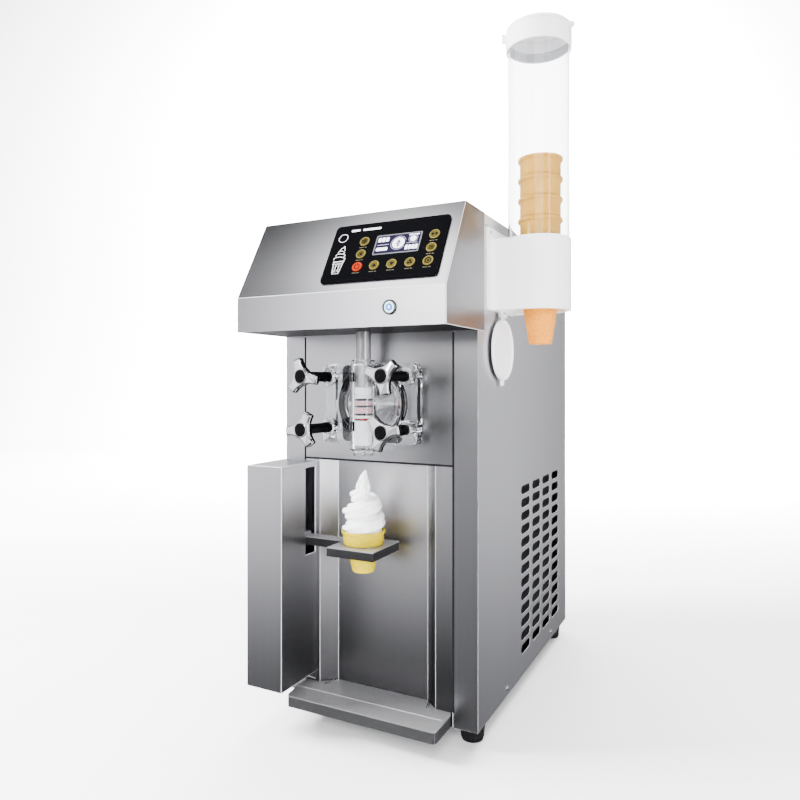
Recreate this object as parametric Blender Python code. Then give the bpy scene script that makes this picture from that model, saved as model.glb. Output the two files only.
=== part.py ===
"""Countertop soft-serve machine with a cone lift and a side cone dispenser.

Every shape is drawn in millimetres in the machine's own frame: X = 0 on the middle of the
cabinet, Y = 0 on the cabinet's front plane (positive towards the back), Z = 0 on the counter.
The finished object is in metres, with its origin under the middle of its whole outline.
"""
import math

import bmesh
import bpy
from mathutils import Matrix, Vector

for old in list(bpy.data.objects):
    bpy.data.objects.remove(old, do_unlink=True)

MM = 0.001
GAP = 0.3                       # air left between neighbouring pieces
SHEET = 1.2                     # stainless sheet
SKIN = 1.5                      # housings and trays
ROUND = 28                      # sides of the large round pieces

# Cabinet
HALF_W = 155.0
DEPTH = 490.0
FOOT_H = 25.0
FOOT_R = 18.0
FOOT_X = 135.0
FOOT_Y = (32.0, 452.0)
PANEL_TOP = 714.0
COVER_TOP = 717.0
COVER_FLANGE = 15.0
COVER_HALF_W = HALF_W + 1.5
COVER_FRONT = 21.0
POST_INNER = 120.4              # inner edge of the folded corner posts
DOOR_HALF_W = 119.0             # front panels between the posts
BAY_TOP = 376.0                 # seam between the two front panels
BAY_HALF_W = 93.7
BAY_BACK_HALF_W = 73.4
BAY_DEPTH = 19.4
REAR_RETURN = 14.0
PAN_H = 14.0
PAN_INSET = 2.0
PAN_Y = (22.0, 486.0)
INLET_X = (60.0, 92.0)
INLET_Z = (60.0, 86.0)
INLET_WALL = 4.0
GRILLE_ROWS = 8
GRILLE_Z = 470.0
GRILLE_HALF_W = 70.0
DOOR_FOLD = 10.0

# Vents
VENT_COLUMNS = 4
VENT_ROWS = 13
VENT_PITCH_Y = 62.5
VENT_PITCH_Z = 21.0
VENT_W = 50.0
VENT_H = 14.0
VENT_ROUND = 5.0
VENT_FIRST_Y = 219.0
VENT_FIRST_Z = 66.0

# Hood
HOOD_HALF_W = 156.5
HOOD_FRONT = -110.6
HOOD_BOTTOM = 557.6
HOOD_BAND_TOP = 604.6
HOOD_CREST_Y = -47.3
HOOD_TOP = 717.8
HOOD_REAR = 20.5

# Control panel, measured across and up the hood's slope
PANEL_X = (-24.0, 142.5)
PANEL_V = (12.5, 107.0)
PANEL_ROUND = 5.0
PANEL_T = 2.5
DISPLAY_X = (43.5, 109.0)
DISPLAY_V = (51.5, 83.6)
KEY_R = 7.1
KEY_PROUD = 1.0
KEY_DEEP = 3.0
KEY_X = (26.6, 51.6, 76.5, 101.8, 126.4)
KEY_V = (35.0, 55.4, 76.1)
START_X = 81.5
START_Z = 580.8
START_R = 9.7
START_CAP_R = 6.9
START_PROUD = 2.4
BEZEL_PROUD = 1.6

# Dispensing head, on the freezing cylinder's axis
HEAD_Z = 459.0
HEAD_HALF_W = 73.5
HEAD_HALF_H = 56.5
HEAD_FRONT = -28.6
HEAD_ROUND = 10.0
STUD_X = 61.0
STUD_Z = (425.0, 496.5)
STUD_R = 4.0
NOZZLE_Y = -33.4
NOZZLE_BOTTOM = 388.5
NOZZLE_R = 14.6
VALVE_BORE_R = 12.8
VALVE_R = 12.3
ROD_R = 10.4
ROD_BOTTOM = 482.3
ROD_TOP = 636.0
VALVE_BOTTOM = 402.5
BOSS_R = 19.0
VALVE_GROOVES = (438.0, 445.0, 456.0, 465.0)
ACTUATOR = ((-30.0, -54.0, 640.0), (30.0, -8.0, 694.0))

# Star knobs
KNOB_FACE = -96.0
KNOB_HEAD_T = 9.0
KNOB_REACH = 25.0
KNOB_ARM_W = 10.0
KNOB_HUB_R = 11.0
KNOB_SLEEVE_R = 7.0
KNOB_TURNS = {("left", "top"): 108, ("left", "bottom"): 65, ("right", "top"): 42,
              ("right", "bottom"): 10}

# Freezing cylinder and drive
BARREL_R = 43.0
BARREL_OUT_R = 54.0
BARREL_END = 240.0
BEATER_R = 42.2
SHAFT_R = 9.5
DRIVE_Y = (312.0, 328.0)
DRIVE_R = 48.0
MOTOR_Z = 262.0
MOTOR_R = 52.0
MOTOR_PULLEY_R = 18.0
BELT_T = 4.0
GEARBOX_HALF_W, GEARBOX_HALF_H, GEARBOX_END = 44.0, 46.0, 304.0
MOTOR_Y = (186.0, 300.0)

# Refrigeration
POT_X, POT_Y, POT_R, POT_TOP = -80.0, 395.0, 62.0, 205.0
COIL_X = (104.0, 142.0)
COIL_Y = (186.0, 440.0)
COIL_Z = (28.0, 334.0)
FAN_X = (70.0, 92.0)
FAN_Y, FAN_Z, FAN_R, FAN_HUB_R = 313.0, 192.0, 74.0, 20.0

# Mix hopper
HOPPER_X = 92.0
HOPPER_Y = (150.0, 372.0)
HOPPER_BOTTOM = 592.0
FEED_Y = 182.0
FEED_R = 9.0
LID_TOP = 724.0
HANDLE_TOP = 744.0
HANDLE_HALF_W = 45.0
HANDLE_HALF_D = 7.0
GRIP_HALF_W = 35.0

# Cone lift
PILLAR_X = (-157.2, -97.2)
PILLAR_FRONT = -89.2
PILLAR_Z = (61.7, 372.3)
SLOT_Y = (-32.0, -7.0)
SLOT_Z = (239.0, 365.0)
ARM_Y = (-29.8, -9.0)
PLATE_TOP = 266.0
PLATE_T = 12.5
PLATE_HALF_W = 36.0
PLATE_Y = (-71.5, 5.0)
CONE_HOLE_R = 24.8
SCREW_X, SCREW_Y, SCREW_R = -127.0, -58.0, 5.0
SCREW_BOTTOM = 97.0
LIFT_MOTOR_X, LIFT_MOTOR_Y, LIFT_MOTOR_TOP = (-150.0, -104.0), (-80.0, -36.0), 104.0
NUT_X, NUT_Y, NUT_EXTRA = (-150.0, -103.0), (-76.0, -9.0), 4.0

# Drip tray
TRAY_HALF_W = 116.0
TRAY_FRONT = -52.0
TRAY_CREASE = -26.0
TRAY_TOP = 45.0
TRAY_LIP = 41.0
TRAY_BOTTOM = 25.3

# Cone dispenser
TUBE_X, TUBE_Y = 212.4, 86.0
TUBE_R = 42.1
TUBE_IN_R = 39.6
TUBE_Z = (603.0, 961.5)
HOLDER_R = 44.6
HOLDER_Z = (588.0, 685.0)
BRACKET_Y = (31.0, 141.0)
BRACKET_TOP = 700.0
BRACKET_T = 3.6
RETAINER_R = 26.0
CAP_R = 45.0
CAP_Z = (949.5, 975.5)
CAP_LID_TOP = 981.5
CAP_HINGE_X = 164.4
CAP_HINGE_Z = 977.6
LID_TAB_X = 262.4
FLAP_HINGE_X, FLAP_HINGE_Z = 160.6, 584.3
FLAP_R = 43.0
FLAP_CENTRE_Z = 534.8
FLAP_TAB_Z = 484.0

# Cones
SERVED_Z = 229.0
STACK_X, STACK_Y, STACK_Z = 214.5, 87.0, 542.0
STACK_COUNT = 7
STACK_PITCH = 27.9
CONE_TIP_R, CONE_SHOULDER_R, CONE_BODY_R, CONE_LIP_R = 15.5, 25.0, 28.0, 30.8
CONE_H = 90.0

# The whole outline, whose middle is the origin
OUTLINE_X = (PILLAR_X[0], LID_TAB_X)
OUTLINE_Y = (HOOD_FRONT - START_PROUD, DEPTH + 1.5)
ORIGIN = Vector((sum(OUTLINE_X) / 2, sum(OUTLINE_Y) / 2, 0.0))

SLOPE_RUN = Vector((0.0, HOOD_CREST_Y - HOOD_FRONT, HOOD_TOP - HOOD_BAND_TOP))
SLOPE_UP = SLOPE_RUN.normalized()
SLOPE_OUT = Vector((1.0, 0.0, 0.0)).cross(SLOPE_UP)
SLOPE = Matrix.Translation((0.0, HOOD_FRONT, HOOD_BAND_TOP)) @ Matrix(
    ((1.0, 0.0, 0.0), SLOPE_UP, SLOPE_OUT)).transposed().to_4x4()


def arc(centre, radius, start, end, steps):
    """Points on an arc, angles in degrees."""
    angles = [math.radians(start + (end - start) * i / steps) for i in range(steps + 1)]
    return [(centre[0] + radius * math.cos(a), centre[1] + radius * math.sin(a)) for a in angles]


def rounded(lo, hi, radius, steps=2):
    """A rectangle's outline with round corners."""
    corners = ((hi[0], hi[1], 0), (lo[0], hi[1], 90), (lo[0], lo[1], 180), (hi[0], lo[1], 270))
    points = []
    for x, y, turn in corners:
        centre = (x - math.copysign(radius, x - (lo[0] + hi[0]) / 2),
                  y - math.copysign(radius, y - (lo[1] + hi[1]) / 2))
        points += arc(centre, radius, turn, turn + 90, steps)
    return points


class Shape:
    """A closed mesh drawn in millimetres; several calls leave several closed bodies."""

    def __init__(self):
        self.mesh = bmesh.new()

    def box(self, lo, hi):
        outline = ((lo[0], lo[1]), (hi[0], lo[1]), (hi[0], hi[1]), (lo[0], hi[1]))
        return self.prism(outline, "Z", lo[2], hi[2])

    def prism(self, outline, axis, low, high):
        """Extrude an outline: (x, y) along Z, (x, z) along Y or (y, z) along X."""
        def point(p, depth):
            return {"Z": (p[0], p[1], depth), "Y": (p[0], depth, p[1]),
                    "X": (depth, p[0], p[1])}[axis]
        rings = [[self.mesh.verts.new(point(p, d)) for p in outline] for d in (low, high)]
        return self.skin(rings)

    def lathe(self, profile, centre, axis="Z", sides=24):
        """Spin (radius, height) points about an axis; a closed loop unless it meets the axis."""
        solid = profile[0][0] == 0
        inner = profile[1:-1] if solid else profile
        rings = []
        for radius, height in inner:
            ring = []
            for i in range(sides):
                a = 2 * math.pi * i / sides
                u, v = radius * math.cos(a), radius * math.sin(a)
                p = {"Z": (u, v, height), "Y": (u, height, v), "X": (height, u, v)}[axis]
                ring.append(self.mesh.verts.new(Vector(p) + Vector(centre)))
            rings.append(ring)
        if not solid:
            rings.append(rings[0])
            return self.skin(rings, caps=False)
        return self.skin(rings)

    def rod(self, radius, low, high, centre, axis="Z", sides=20):
        profile = [(0, low), (radius, low), (radius, high), (0, high)]
        return self.lathe(profile, centre, axis, sides)

    def skin(self, rings, caps=True):
        for ring, following in zip(rings, rings[1:]):
            for i, vert in enumerate(ring):
                j = (i + 1) % len(ring)
                self.mesh.faces.new((vert, ring[j], following[j], following[i]))
        if caps:
            self.mesh.faces.new(rings[0])
            self.mesh.faces.new(rings[-1])
        return self

    def turned(self, matrix):
        bmesh.ops.transform(self.mesh, matrix=matrix, verts=self.mesh.verts)
        return self

    def to_object(self, name, origin):
        bmesh.ops.recalc_face_normals(self.mesh, faces=self.mesh.faces)
        bmesh.ops.translate(self.mesh, vec=-Vector(origin), verts=self.mesh.verts)
        bmesh.ops.scale(self.mesh, vec=(MM, MM, MM), verts=self.mesh.verts)
        data = bpy.data.meshes.new(name)
        self.mesh.to_mesh(data)
        self.mesh.free()
        obj = bpy.data.objects.new(name, data)
        obj.location = (Vector(origin) - ORIGIN) * MM
        bpy.context.scene.collection.objects.link(obj)
        return obj


def material(name, colour, roughness, metallic, alpha=1.0):
    mat = bpy.data.materials.new(name)
    mat.use_nodes = True
    shader = mat.node_tree.nodes["Principled BSDF"]
    shader.inputs["Base Color"].default_value = (*colour, 1.0)
    shader.inputs["Roughness"].default_value = roughness
    shader.inputs["Metallic"].default_value = metallic
    shader.inputs["Alpha"].default_value = alpha
    mat.diffuse_color = (*colour, alpha)
    return mat


STEEL = ((0.56, 0.56, 0.58), 0.32, 1.0)
POLISHED = ((0.78, 0.78, 0.80), 0.18, 1.0)
DARK_STEEL = ((0.20, 0.20, 0.21), 0.40, 1.0)
BLACK = ((0.02, 0.02, 0.02), 0.35, 0.0)
RUBBER = ((0.03, 0.03, 0.03), 0.80, 0.0)
WHITE = ((0.88, 0.88, 0.90), 0.30, 0.0)
CLEAR = ((0.90, 0.93, 0.95), 0.05, 0.0, 0.35)
FROSTED = ((0.93, 0.93, 0.93), 0.25, 0.0)
ALUMINIUM = ((0.70, 0.71, 0.72), 0.35, 1.0)
GOLD = ((0.60, 0.45, 0.18), 0.35, 0.6)
WAFER = ((0.85, 0.55, 0.22), 0.80, 0.0)
YELLOW_WAFER = ((0.90, 0.78, 0.12), 0.60, 0.0)
CREAM = ((0.95, 0.94, 0.92), 0.45, 0.0)
GREY_PLASTIC = ((0.35, 0.36, 0.38), 0.50, 0.0)
SCREEN = ((0.12, 0.08, 0.22), 0.15, 0.0)


def piece(name, shape, look, origin=(0, 0, 0), add=(), cut=(), sharp=35.0):
    """One named sub-part: a first shape, shapes fused to it, then shapes cut from it."""
    obj = shape.to_object(name, origin)
    obj.data.materials.append(material(name, *look))
    tools = [("UNION", s) for s in add] + [("DIFFERENCE", s) for s in cut]
    for i, (operation, tool_shape) in enumerate(tools):
        tool = tool_shape.to_object(f"{name}.tool{i}", origin)
        tool.hide_render = True
        tool.display_type = "WIRE"
        modifier = obj.modifiers.new(f"step{i}", "BOOLEAN")
        modifier.operation = operation
        modifier.solver = "EXACT"
        modifier.object = tool
    obj.data.shade_smooth()
    obj.data.set_sharp_from_angle(angle=math.radians(sharp))
    return obj


def vent_slots(outer_x, columns, rows):
    """Rows of round-cornered slots, cut through a side panel."""
    slots = Shape()
    for column in range(columns):
        for row in range(rows):
            y = VENT_FIRST_Y + VENT_PITCH_Y * (column + (VENT_COLUMNS - columns) / 2)
            z = VENT_FIRST_Z + VENT_PITCH_Z * row
            outline = rounded((y - VENT_W / 2, z - VENT_H / 2), (y + VENT_W / 2, z + VENT_H / 2),
                              VENT_ROUND, steps=1)
            slots.prism(outline, "X", outer_x - 4, outer_x + 4)
    return slots


def cabinet():
    half_w, (y0, y1) = HALF_W - PAN_INSET, PAN_Y
    pan = Shape().box((-half_w, y0, FOOT_H), (half_w, y1, FOOT_H + PAN_H))
    well = Shape().box((-half_w + SKIN, y0 + SKIN, FOOT_H + SKIN),
                       (half_w - SKIN, y1 - SKIN, FOOT_H + PAN_H + 6))
    piece("base_pan", pan, STEEL, cut=[well])

    for side, name, columns, rows in ((1, "right", VENT_COLUMNS, VENT_ROWS), (-1, "left", 2, 8)):
        inner = HALF_W - SHEET
        outline = [(HALF_W, DEPTH), (HALF_W, 0), (POST_INNER, 0), (POST_INNER, 12),
                   (POST_INNER + SHEET, 12), (POST_INNER + SHEET, SHEET), (inner, SHEET),
                   (inner, DEPTH - SHEET), (HALF_W - REAR_RETURN, DEPTH - SHEET),
                   (HALF_W - REAR_RETURN, DEPTH)]
        outline = [(side * x, y) for x, y in outline]
        panel = Shape().prism(outline, "Z", FOOT_H, PANEL_TOP)
        piece(f"{name}_side_panel", panel, STEEL, cut=[vent_slots(side * HALF_W, columns, rows)])

    back = Shape().box((-HALF_W + 3, DEPTH - SHEET - GAP - SHEET, FOOT_H + 1),
                       (HALF_W - 3, DEPTH - SHEET - GAP, PANEL_TOP - 1))
    (x0, x1), (z0, z1), wall = INLET_X, INLET_Z, INLET_WALL
    inlet = Shape().box((x0, DEPTH - 30, z0), (x1, DEPTH + 1.5, z1))
    socket = Shape().box((x0 + wall, DEPTH - 22, z0 + wall), (x1 - wall, DEPTH + 4, z1 - wall))
    grille = Shape()
    for row in range(GRILLE_ROWS):
        z = GRILLE_Z + VENT_PITCH_Z * row
        slot = rounded((-GRILLE_HALF_W, z - 4), (GRILLE_HALF_W, z + 4), 3, steps=1)
        grille.prism(slot, "Y", DEPTH - 8, DEPTH + 4)
    piece("back_panel", back, STEEL, add=[inlet], cut=[socket, grille])

    for i, (x, y) in enumerate([(x, y) for y in FOOT_Y for x in (-FOOT_X, FOOT_X)]):
        side = ("front_left", "front_right", "rear_left", "rear_right")[i]
        foot = Shape().lathe([(0, 0), (FOOT_R - 4, 0), (FOOT_R - 3, 2), (FOOT_R, FOOT_H - 4),
                              (FOOT_R, FOOT_H - GAP), (0, FOOT_H - GAP)], (x, y, 0), sides=24)
        piece(f"foot_{side}", foot, RUBBER, origin=(x, y, 0))


def front_panels():
    w, t, fold = DOOR_HALF_W, SHEET, DOOR_FOLD
    outline = [(-w, 0), (w, 0), (w, fold), (w - t, fold), (w - t, t), (-w + t, t),
               (-w + t, fold), (-w, fold)]
    door = Shape().prism(outline, "Z", BAY_TOP + 0.7, PANEL_TOP - 2)
    holes = Shape().rod(BARREL_OUT_R + 1, -3, 4, (0, 0, HEAD_Z), "Y", sides=ROUND)
    for x in (-STUD_X, STUD_X):
        for z in STUD_Z:
            holes.rod(STUD_R + 1, -3, 4, (x, 0, z), "Y", sides=12)
    piece("front_upper_panel", door, STEEL, cut=[holes])

    b, k, d = BAY_HALF_W, BAY_BACK_HALF_W, BAY_DEPTH
    lean = t * 0.41
    front = [(-w, 0), (-b, 0), (-k, d), (k, d), (b, 0), (w, 0)]
    rear = [(w, t), (b + lean, t), (k + lean, d + t), (-k - lean, d + t), (-b - lean, t), (-w, t)]
    bay = Shape().prism(front + rear, "Z", FOOT_H + GAP, BAY_TOP - 0.7)
    piece("front_recess_panel", bay, STEEL)


def top_cover():
    x0, x1 = -COVER_HALF_W, COVER_HALF_W
    y0, y1 = COVER_FRONT, DEPTH + 1.5
    z0, z1 = COVER_TOP - COVER_FLANGE, COVER_TOP
    shell = Shape().box((x0, y0, z0), (x1, y1, z1))
    under = Shape().box((x0 + SHEET, y0 - 2, z0 - 2), (x1 - SHEET, y1 - SHEET, z1 - SHEET))
    mouth = Shape().box((-HOPPER_X - 0.6, HOPPER_Y[0] - 0.6, z0 - 2),
                        (HOPPER_X + 0.6, HOPPER_Y[1] + 0.6, z1 + 2))
    piece("top_cover", shell, STEEL, cut=[under, mouth])


def hopper():
    lip = 10.0
    x, (y0, y1) = HOPPER_X, HOPPER_Y
    lip_z = COVER_TOP + GAP
    bin_ = Shape().box((-x, y0, HOPPER_BOTTOM), (x, y1, lip_z + SHEET))
    rim = Shape().box((-x - lip, y0 - lip, lip_z), (x + lip, y1 + lip, lip_z + SHEET))
    feed = Shape().rod(FEED_R + 2, HEAD_Z + BARREL_OUT_R - 2.5, HOPPER_BOTTOM + 1,
                       (0, FEED_Y, 0), sides=20)
    inside = Shape().box((-x + SKIN, y0 + SKIN, HOPPER_BOTTOM + SKIN),
                         (x - SKIN, y1 - SKIN, lip_z + 20))
    bore = Shape().rod(FEED_R, HEAD_Z + BARREL_OUT_R - 20, HOPPER_BOTTOM + 9, (0, FEED_Y, 0),
                       sides=20)
    piece("mix_hopper", bin_, POLISHED, add=[rim, feed], cut=[inside, bore])

    edge = lip + 3
    lid = Shape().box((-x - edge, y0 - edge, lip_z), (x + edge, y1 + edge, LID_TOP))
    hollow = Shape().box((-x - edge + SKIN, y0 - edge + SKIN, lip_z - 5),
                         (x + edge - SKIN, y1 + edge - SKIN, LID_TOP - SKIN))
    mid = (y0 + y1) / 2
    grip = Shape().box((-HANDLE_HALF_W, mid - HANDLE_HALF_D, LID_TOP - 1),
                       (HANDLE_HALF_W, mid + HANDLE_HALF_D, HANDLE_TOP))
    finger = Shape().box((-GRIP_HALF_W, mid - HANDLE_HALF_D - 2, LID_TOP + 3),
                         (GRIP_HALF_W, mid + HANDLE_HALF_D + 2, HANDLE_TOP - 6))
    piece("hopper_lid", lid, POLISHED, origin=(0, mid, lip_z), add=[grip], cut=[hollow, finger])


def hood():
    crest = (HOOD_CREST_Y, HOOD_TOP)
    outline = [(HOOD_FRONT, HOOD_BOTTOM), (HOOD_FRONT, HOOD_BAND_TOP), crest,
               (HOOD_REAR, HOOD_TOP), (HOOD_REAR, HOOD_BOTTOM)]
    shell = Shape().prism(outline, "X", -HOOD_HALF_W, HOOD_HALF_W)
    inner = [(HOOD_FRONT + SHEET, HOOD_BOTTOM - 5), (HOOD_FRONT + SHEET, HOOD_BAND_TOP - 0.3),
             (HOOD_CREST_Y + 0.7, HOOD_TOP - SHEET), (HOOD_REAR + 5, HOOD_TOP - SHEET),
             (HOOD_REAR + 5, HOOD_BOTTOM - 5)]
    hollow = Shape().prism(inner, "X", -HOOD_HALF_W + SHEET, HOOD_HALF_W - SHEET)
    margin = 6.0
    window = Shape().box((PANEL_X[0] + margin, PANEL_V[0] + margin, -10),
                         (PANEL_X[1] - margin, PANEL_V[1] - margin, 10)).turned(SLOPE)
    button = Shape().rod(START_CAP_R + 1.6, HOOD_FRONT - 5, HOOD_FRONT + 5, (START_X, 0, START_Z),
                         "Y")
    piece("hood", shell, STEEL, cut=[hollow, window, button])

    plate = Shape().box((-HOOD_HALF_W + SHEET + GAP, HOOD_FRONT + SHEET + GAP, HOOD_BOTTOM + 0.5),
                        (HOOD_HALF_W - SHEET - GAP, -GAP, HOOD_BOTTOM + 3))
    hole = Shape().rod(ROD_R + 1.6, HOOD_BOTTOM - 5, HOOD_BOTTOM + 9, (0, NOZZLE_Y, 0))
    piece("hood_base", plate, DARK_STEEL, cut=[hole])


def controls():
    lift = GAP
    outline = rounded((PANEL_X[0], PANEL_V[0]), (PANEL_X[1], PANEL_V[1]), PANEL_ROUND)
    plate = Shape().prism(outline, "Z", lift, lift + PANEL_T).turned(SLOPE)
    keys = [(x, KEY_V[0]) for x in KEY_X] + [(x, v) for x in (KEY_X[0], KEY_X[-1])
                                             for v in KEY_V[1:]]
    holes = Shape().box((DISPLAY_X[0] - GAP, DISPLAY_V[0] - GAP, -5),
                        (DISPLAY_X[1] + GAP, DISPLAY_V[1] + GAP, 9))
    for x, v in keys:
        holes.rod(KEY_R + 0.4, -5, 9, (x, v, 0), sides=16)
    piece("control_panel", plate, BLACK, cut=[holes.turned(SLOPE)])

    screen = Shape().box((DISPLAY_X[0], DISPLAY_V[0], -9), (DISPLAY_X[1], DISPLAY_V[1], 2.4))
    board = Shape().box((PANEL_X[0] + 8, PANEL_V[0] + 4, -9.6),
                        (PANEL_X[1] - 8, PANEL_V[1] - 10, -8))
    piece("display", screen.turned(SLOPE), SCREEN, add=[board.turned(SLOPE)])

    names = ("standby", "up", "down", "wash", "menu", "heat", "chill", "count", "set")
    for (x, v), name in zip(keys, names):
        cap = Shape().lathe([(0, -KEY_DEEP), (KEY_R, -KEY_DEEP), (KEY_R, lift + PANEL_T + 0.6),
                             (KEY_R - 0.6, lift + PANEL_T + KEY_PROUD),
                             (0, lift + PANEL_T + KEY_PROUD)], (x, v, 0), sides=16)
        piece(f"key_{name}", cap.turned(SLOPE), GOLD, origin=SLOPE @ Vector((x, v, 0)))

    face, centre = HOOD_FRONT - START_PROUD, (START_X, 0, START_Z)
    cap = Shape().lathe([(0, face), (START_CAP_R - 0.8, face), (START_CAP_R, face + 0.6),
                         (START_CAP_R, HOOD_FRONT + 12), (0, HOOD_FRONT + 12)], centre, "Y",
                        sides=18)
    piece("start_button", cap, WHITE, origin=(START_X, HOOD_FRONT, START_Z))
    face, bore = HOOD_FRONT - BEZEL_PROUD, START_CAP_R + 0.5
    ring = Shape().lathe([(bore, HOOD_FRONT + 9), (bore, face), (START_R - 0.8, face),
                          (START_R, HOOD_FRONT - GAP), (bore + 0.7, HOOD_FRONT - GAP),
                          (bore + 0.7, HOOD_FRONT + 9)], centre, "Y", sides=18)
    piece("start_button_bezel", ring, POLISHED)


def dispensing_head():
    w, h = HEAD_HALF_W, HEAD_HALF_H
    outline = rounded((-w, HEAD_Z - h), (w, HEAD_Z + h), HEAD_ROUND, steps=3)
    block = Shape().prism(outline, "Y", HEAD_FRONT, -GAP)
    boss = Shape().rod(BOSS_R, HEAD_Z - h + 2, HEAD_Z + h - 2, (0, NOZZLE_Y, 0), sides=24)
    spout = Shape().lathe([(0, NOZZLE_BOTTOM), (NOZZLE_R, NOZZLE_BOTTOM),
                           (NOZZLE_R, NOZZLE_BOTTOM + 5), (NOZZLE_R + 4, NOZZLE_BOTTOM + 8),
                           (NOZZLE_R + 4, HEAD_Z - h + 6), (0, HEAD_Z - h + 6)],
                          (0, NOZZLE_Y, 0), sides=20)
    bore = Shape().rod(VALVE_BORE_R, NOZZLE_BOTTOM - 4, HEAD_Z + h + 4, (0, NOZZLE_Y, 0), sides=20)
    chamber = Shape().rod(BARREL_R - 4, -10.5, 5, (0, 0, HEAD_Z), "Y", sides=ROUND)
    passage = Shape().rod(7, NOZZLE_Y, -9, (0, 0, HEAD_Z - 26), "Y", sides=12)
    groove = Shape().lathe([(45.6, -3.4), (51.4, -3.4), (51.4, 3), (45.6, 3)], (0, 0, HEAD_Z),
                           "Y", sides=ROUND)
    holes = Shape()
    for x in (-STUD_X, STUD_X):
        for z in STUD_Z:
            holes.rod(STUD_R + 0.5, HEAD_FRONT - 4, 4, (x, 0, z), "Y", sides=12)
    piece("dispensing_head", block, CLEAR, add=[boss, spout],
          cut=[bore, chamber, passage, groove, holes])

    seal = Shape().lathe([(46.2, -3.0), (50.8, -3.0), (50.8, -0.1), (46.2, -0.1)],
                         (0, 0, HEAD_Z), "Y", sides=ROUND)
    piece("head_seal", seal, RUBBER)

    rod = Shape().lathe([(0, ROD_BOTTOM), (ROD_R, ROD_BOTTOM), (ROD_R, ROD_TOP - 2),
                         (ROD_R - 2, ROD_TOP), (0, ROD_TOP)], (0, NOZZLE_Y, 0), sides=20)
    piece("draw_rod", rod, POLISHED, origin=(0, NOZZLE_Y, ROD_BOTTOM))
    top = ROD_BOTTOM - GAP
    profile = [(0, VALVE_BOTTOM), (VALVE_R - 1, VALVE_BOTTOM), (VALVE_R, VALVE_BOTTOM + 1.5)]
    for z in VALVE_GROOVES:
        profile += [(VALVE_R, z - 1.4), (VALVE_R - 1.2, z), (VALVE_R, z + 1.4)]
    profile += [(VALVE_R, top), (0, top)]
    valve = Shape().lathe(profile, (0, NOZZLE_Y, 0), sides=20)
    piece("valve_plunger", valve, FROSTED, origin=(0, NOZZLE_Y, VALVE_BOTTOM))

    body = Shape().box(*ACTUATOR)
    socket = Shape().rod(ROD_R + 0.8, ROD_TOP - 6, ROD_TOP + 40, (0, NOZZLE_Y, 0), sides=24)
    piece("valve_actuator", body, GREY_PLASTIC, cut=[socket])


def star_knobs():
    """Three-armed knobs on the studs, each left at its own angle."""
    for (side, level), turn in KNOB_TURNS.items():
        x = -STUD_X if side == "left" else STUD_X
        z = STUD_Z[1] if level == "top" else STUD_Z[0]
        outline = []
        half = math.degrees(math.asin(KNOB_ARM_W / 2 / KNOB_REACH))
        waist = math.degrees(math.asin(KNOB_ARM_W / 2 / (KNOB_HUB_R + 1)))
        for arm in range(3):
            middle = turn + 120 * arm
            for angle, reach in ((-waist, KNOB_HUB_R + 1), (-half, KNOB_REACH - 1.5),
                                 (-half / 2, KNOB_REACH), (half / 2, KNOB_REACH),
                                 (half, KNOB_REACH - 1.5), (waist, KNOB_HUB_R + 1), (60, KNOB_HUB_R)):
                a = math.radians(middle + angle)
                outline.append((x + reach * math.cos(a), z + reach * math.sin(a)))
        head = Shape().prism(outline, "Y", KNOB_FACE, KNOB_FACE + KNOB_HEAD_T)
        sleeve = Shape().rod(KNOB_SLEEVE_R, KNOB_FACE + 2, HEAD_FRONT - GAP, (x, 0, z), "Y", sides=16)
        thread = Shape().rod(STUD_R + 0.4, -66, 0, (x, 0, z), "Y", sides=12)
        piece(f"star_knob_{level}_{side}", head, POLISHED, origin=(x, KNOB_FACE, z),
              add=[sleeve], cut=[thread])


def freezing_barrel():
    tube = Shape().rod(BARREL_OUT_R, -0.05, BARREL_END, (0, 0, HEAD_Z), "Y", sides=ROUND)
    back = SHEET + GAP
    flange = Shape().prism(rounded((-STUD_X - 9, STUD_Z[0] - 9), (STUD_X + 9, STUD_Z[1] + 9), 8),
                           "Y", back, back + 6)
    studs = [Shape().rod(STUD_R, -60, back + 3, (x, 0, z), "Y", sides=12)
             for x in (-STUD_X, STUD_X) for z in STUD_Z]
    inside = Shape().rod(BARREL_R, -5, BARREL_END - 8, (0, 0, HEAD_Z), "Y", sides=ROUND)
    bearing = Shape().rod(SHAFT_R + 0.5, BARREL_END - 20, BARREL_END + 5, (0, 0, HEAD_Z), "Y")
    seat = Shape().rod(FEED_R + 2.6, HEAD_Z + BARREL_OUT_R - 2.8, HEAD_Z + 80, (0, FEED_Y, 0),
                       sides=20)
    feed = Shape().rod(FEED_R, HEAD_Z + 20, HEAD_Z + 70, (0, FEED_Y, 0), sides=20)
    piece("freezing_cylinder", tube, ALUMINIUM, add=[flange] + studs,
          cut=[inside, bearing, seat, feed])


def beater():
    """A hub with two scraper blades that wind along the barrel."""
    hub, half, steps, turns = 11.0, 2.4, 18, 1.0
    outer = math.sqrt(BEATER_R ** 2 - half ** 2)
    lean = math.degrees(math.asin(half / hub))
    side = arc((0, 0), hub, lean, 180 - lean, 4)
    outline = [(outer, -half), (outer, half)] + side + [(-outer, half), (-outer, -half)]
    outline += [(-x, -y) for x, y in side]
    low, high = 2.0, BARREL_END - 11
    rings = []
    shape = Shape()
    for i in range(steps + 1):
        turn = Matrix.Rotation(2 * math.pi * turns * i / steps, 2)
        y = low + (high - low) * i / steps
        spun = [turn @ Vector(p) for p in outline]
        rings.append([shape.mesh.verts.new((p.x, y, p.y + HEAD_Z)) for p in spun])
    shape.skin(rings)
    shaft = Shape().rod(SHAFT_R, high - 4, BARREL_END + 22, (0, 0, HEAD_Z), "Y", sides=20)
    piece("beater", shape, FROSTED, origin=(0, 0, HEAD_Z), add=[shaft])


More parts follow.
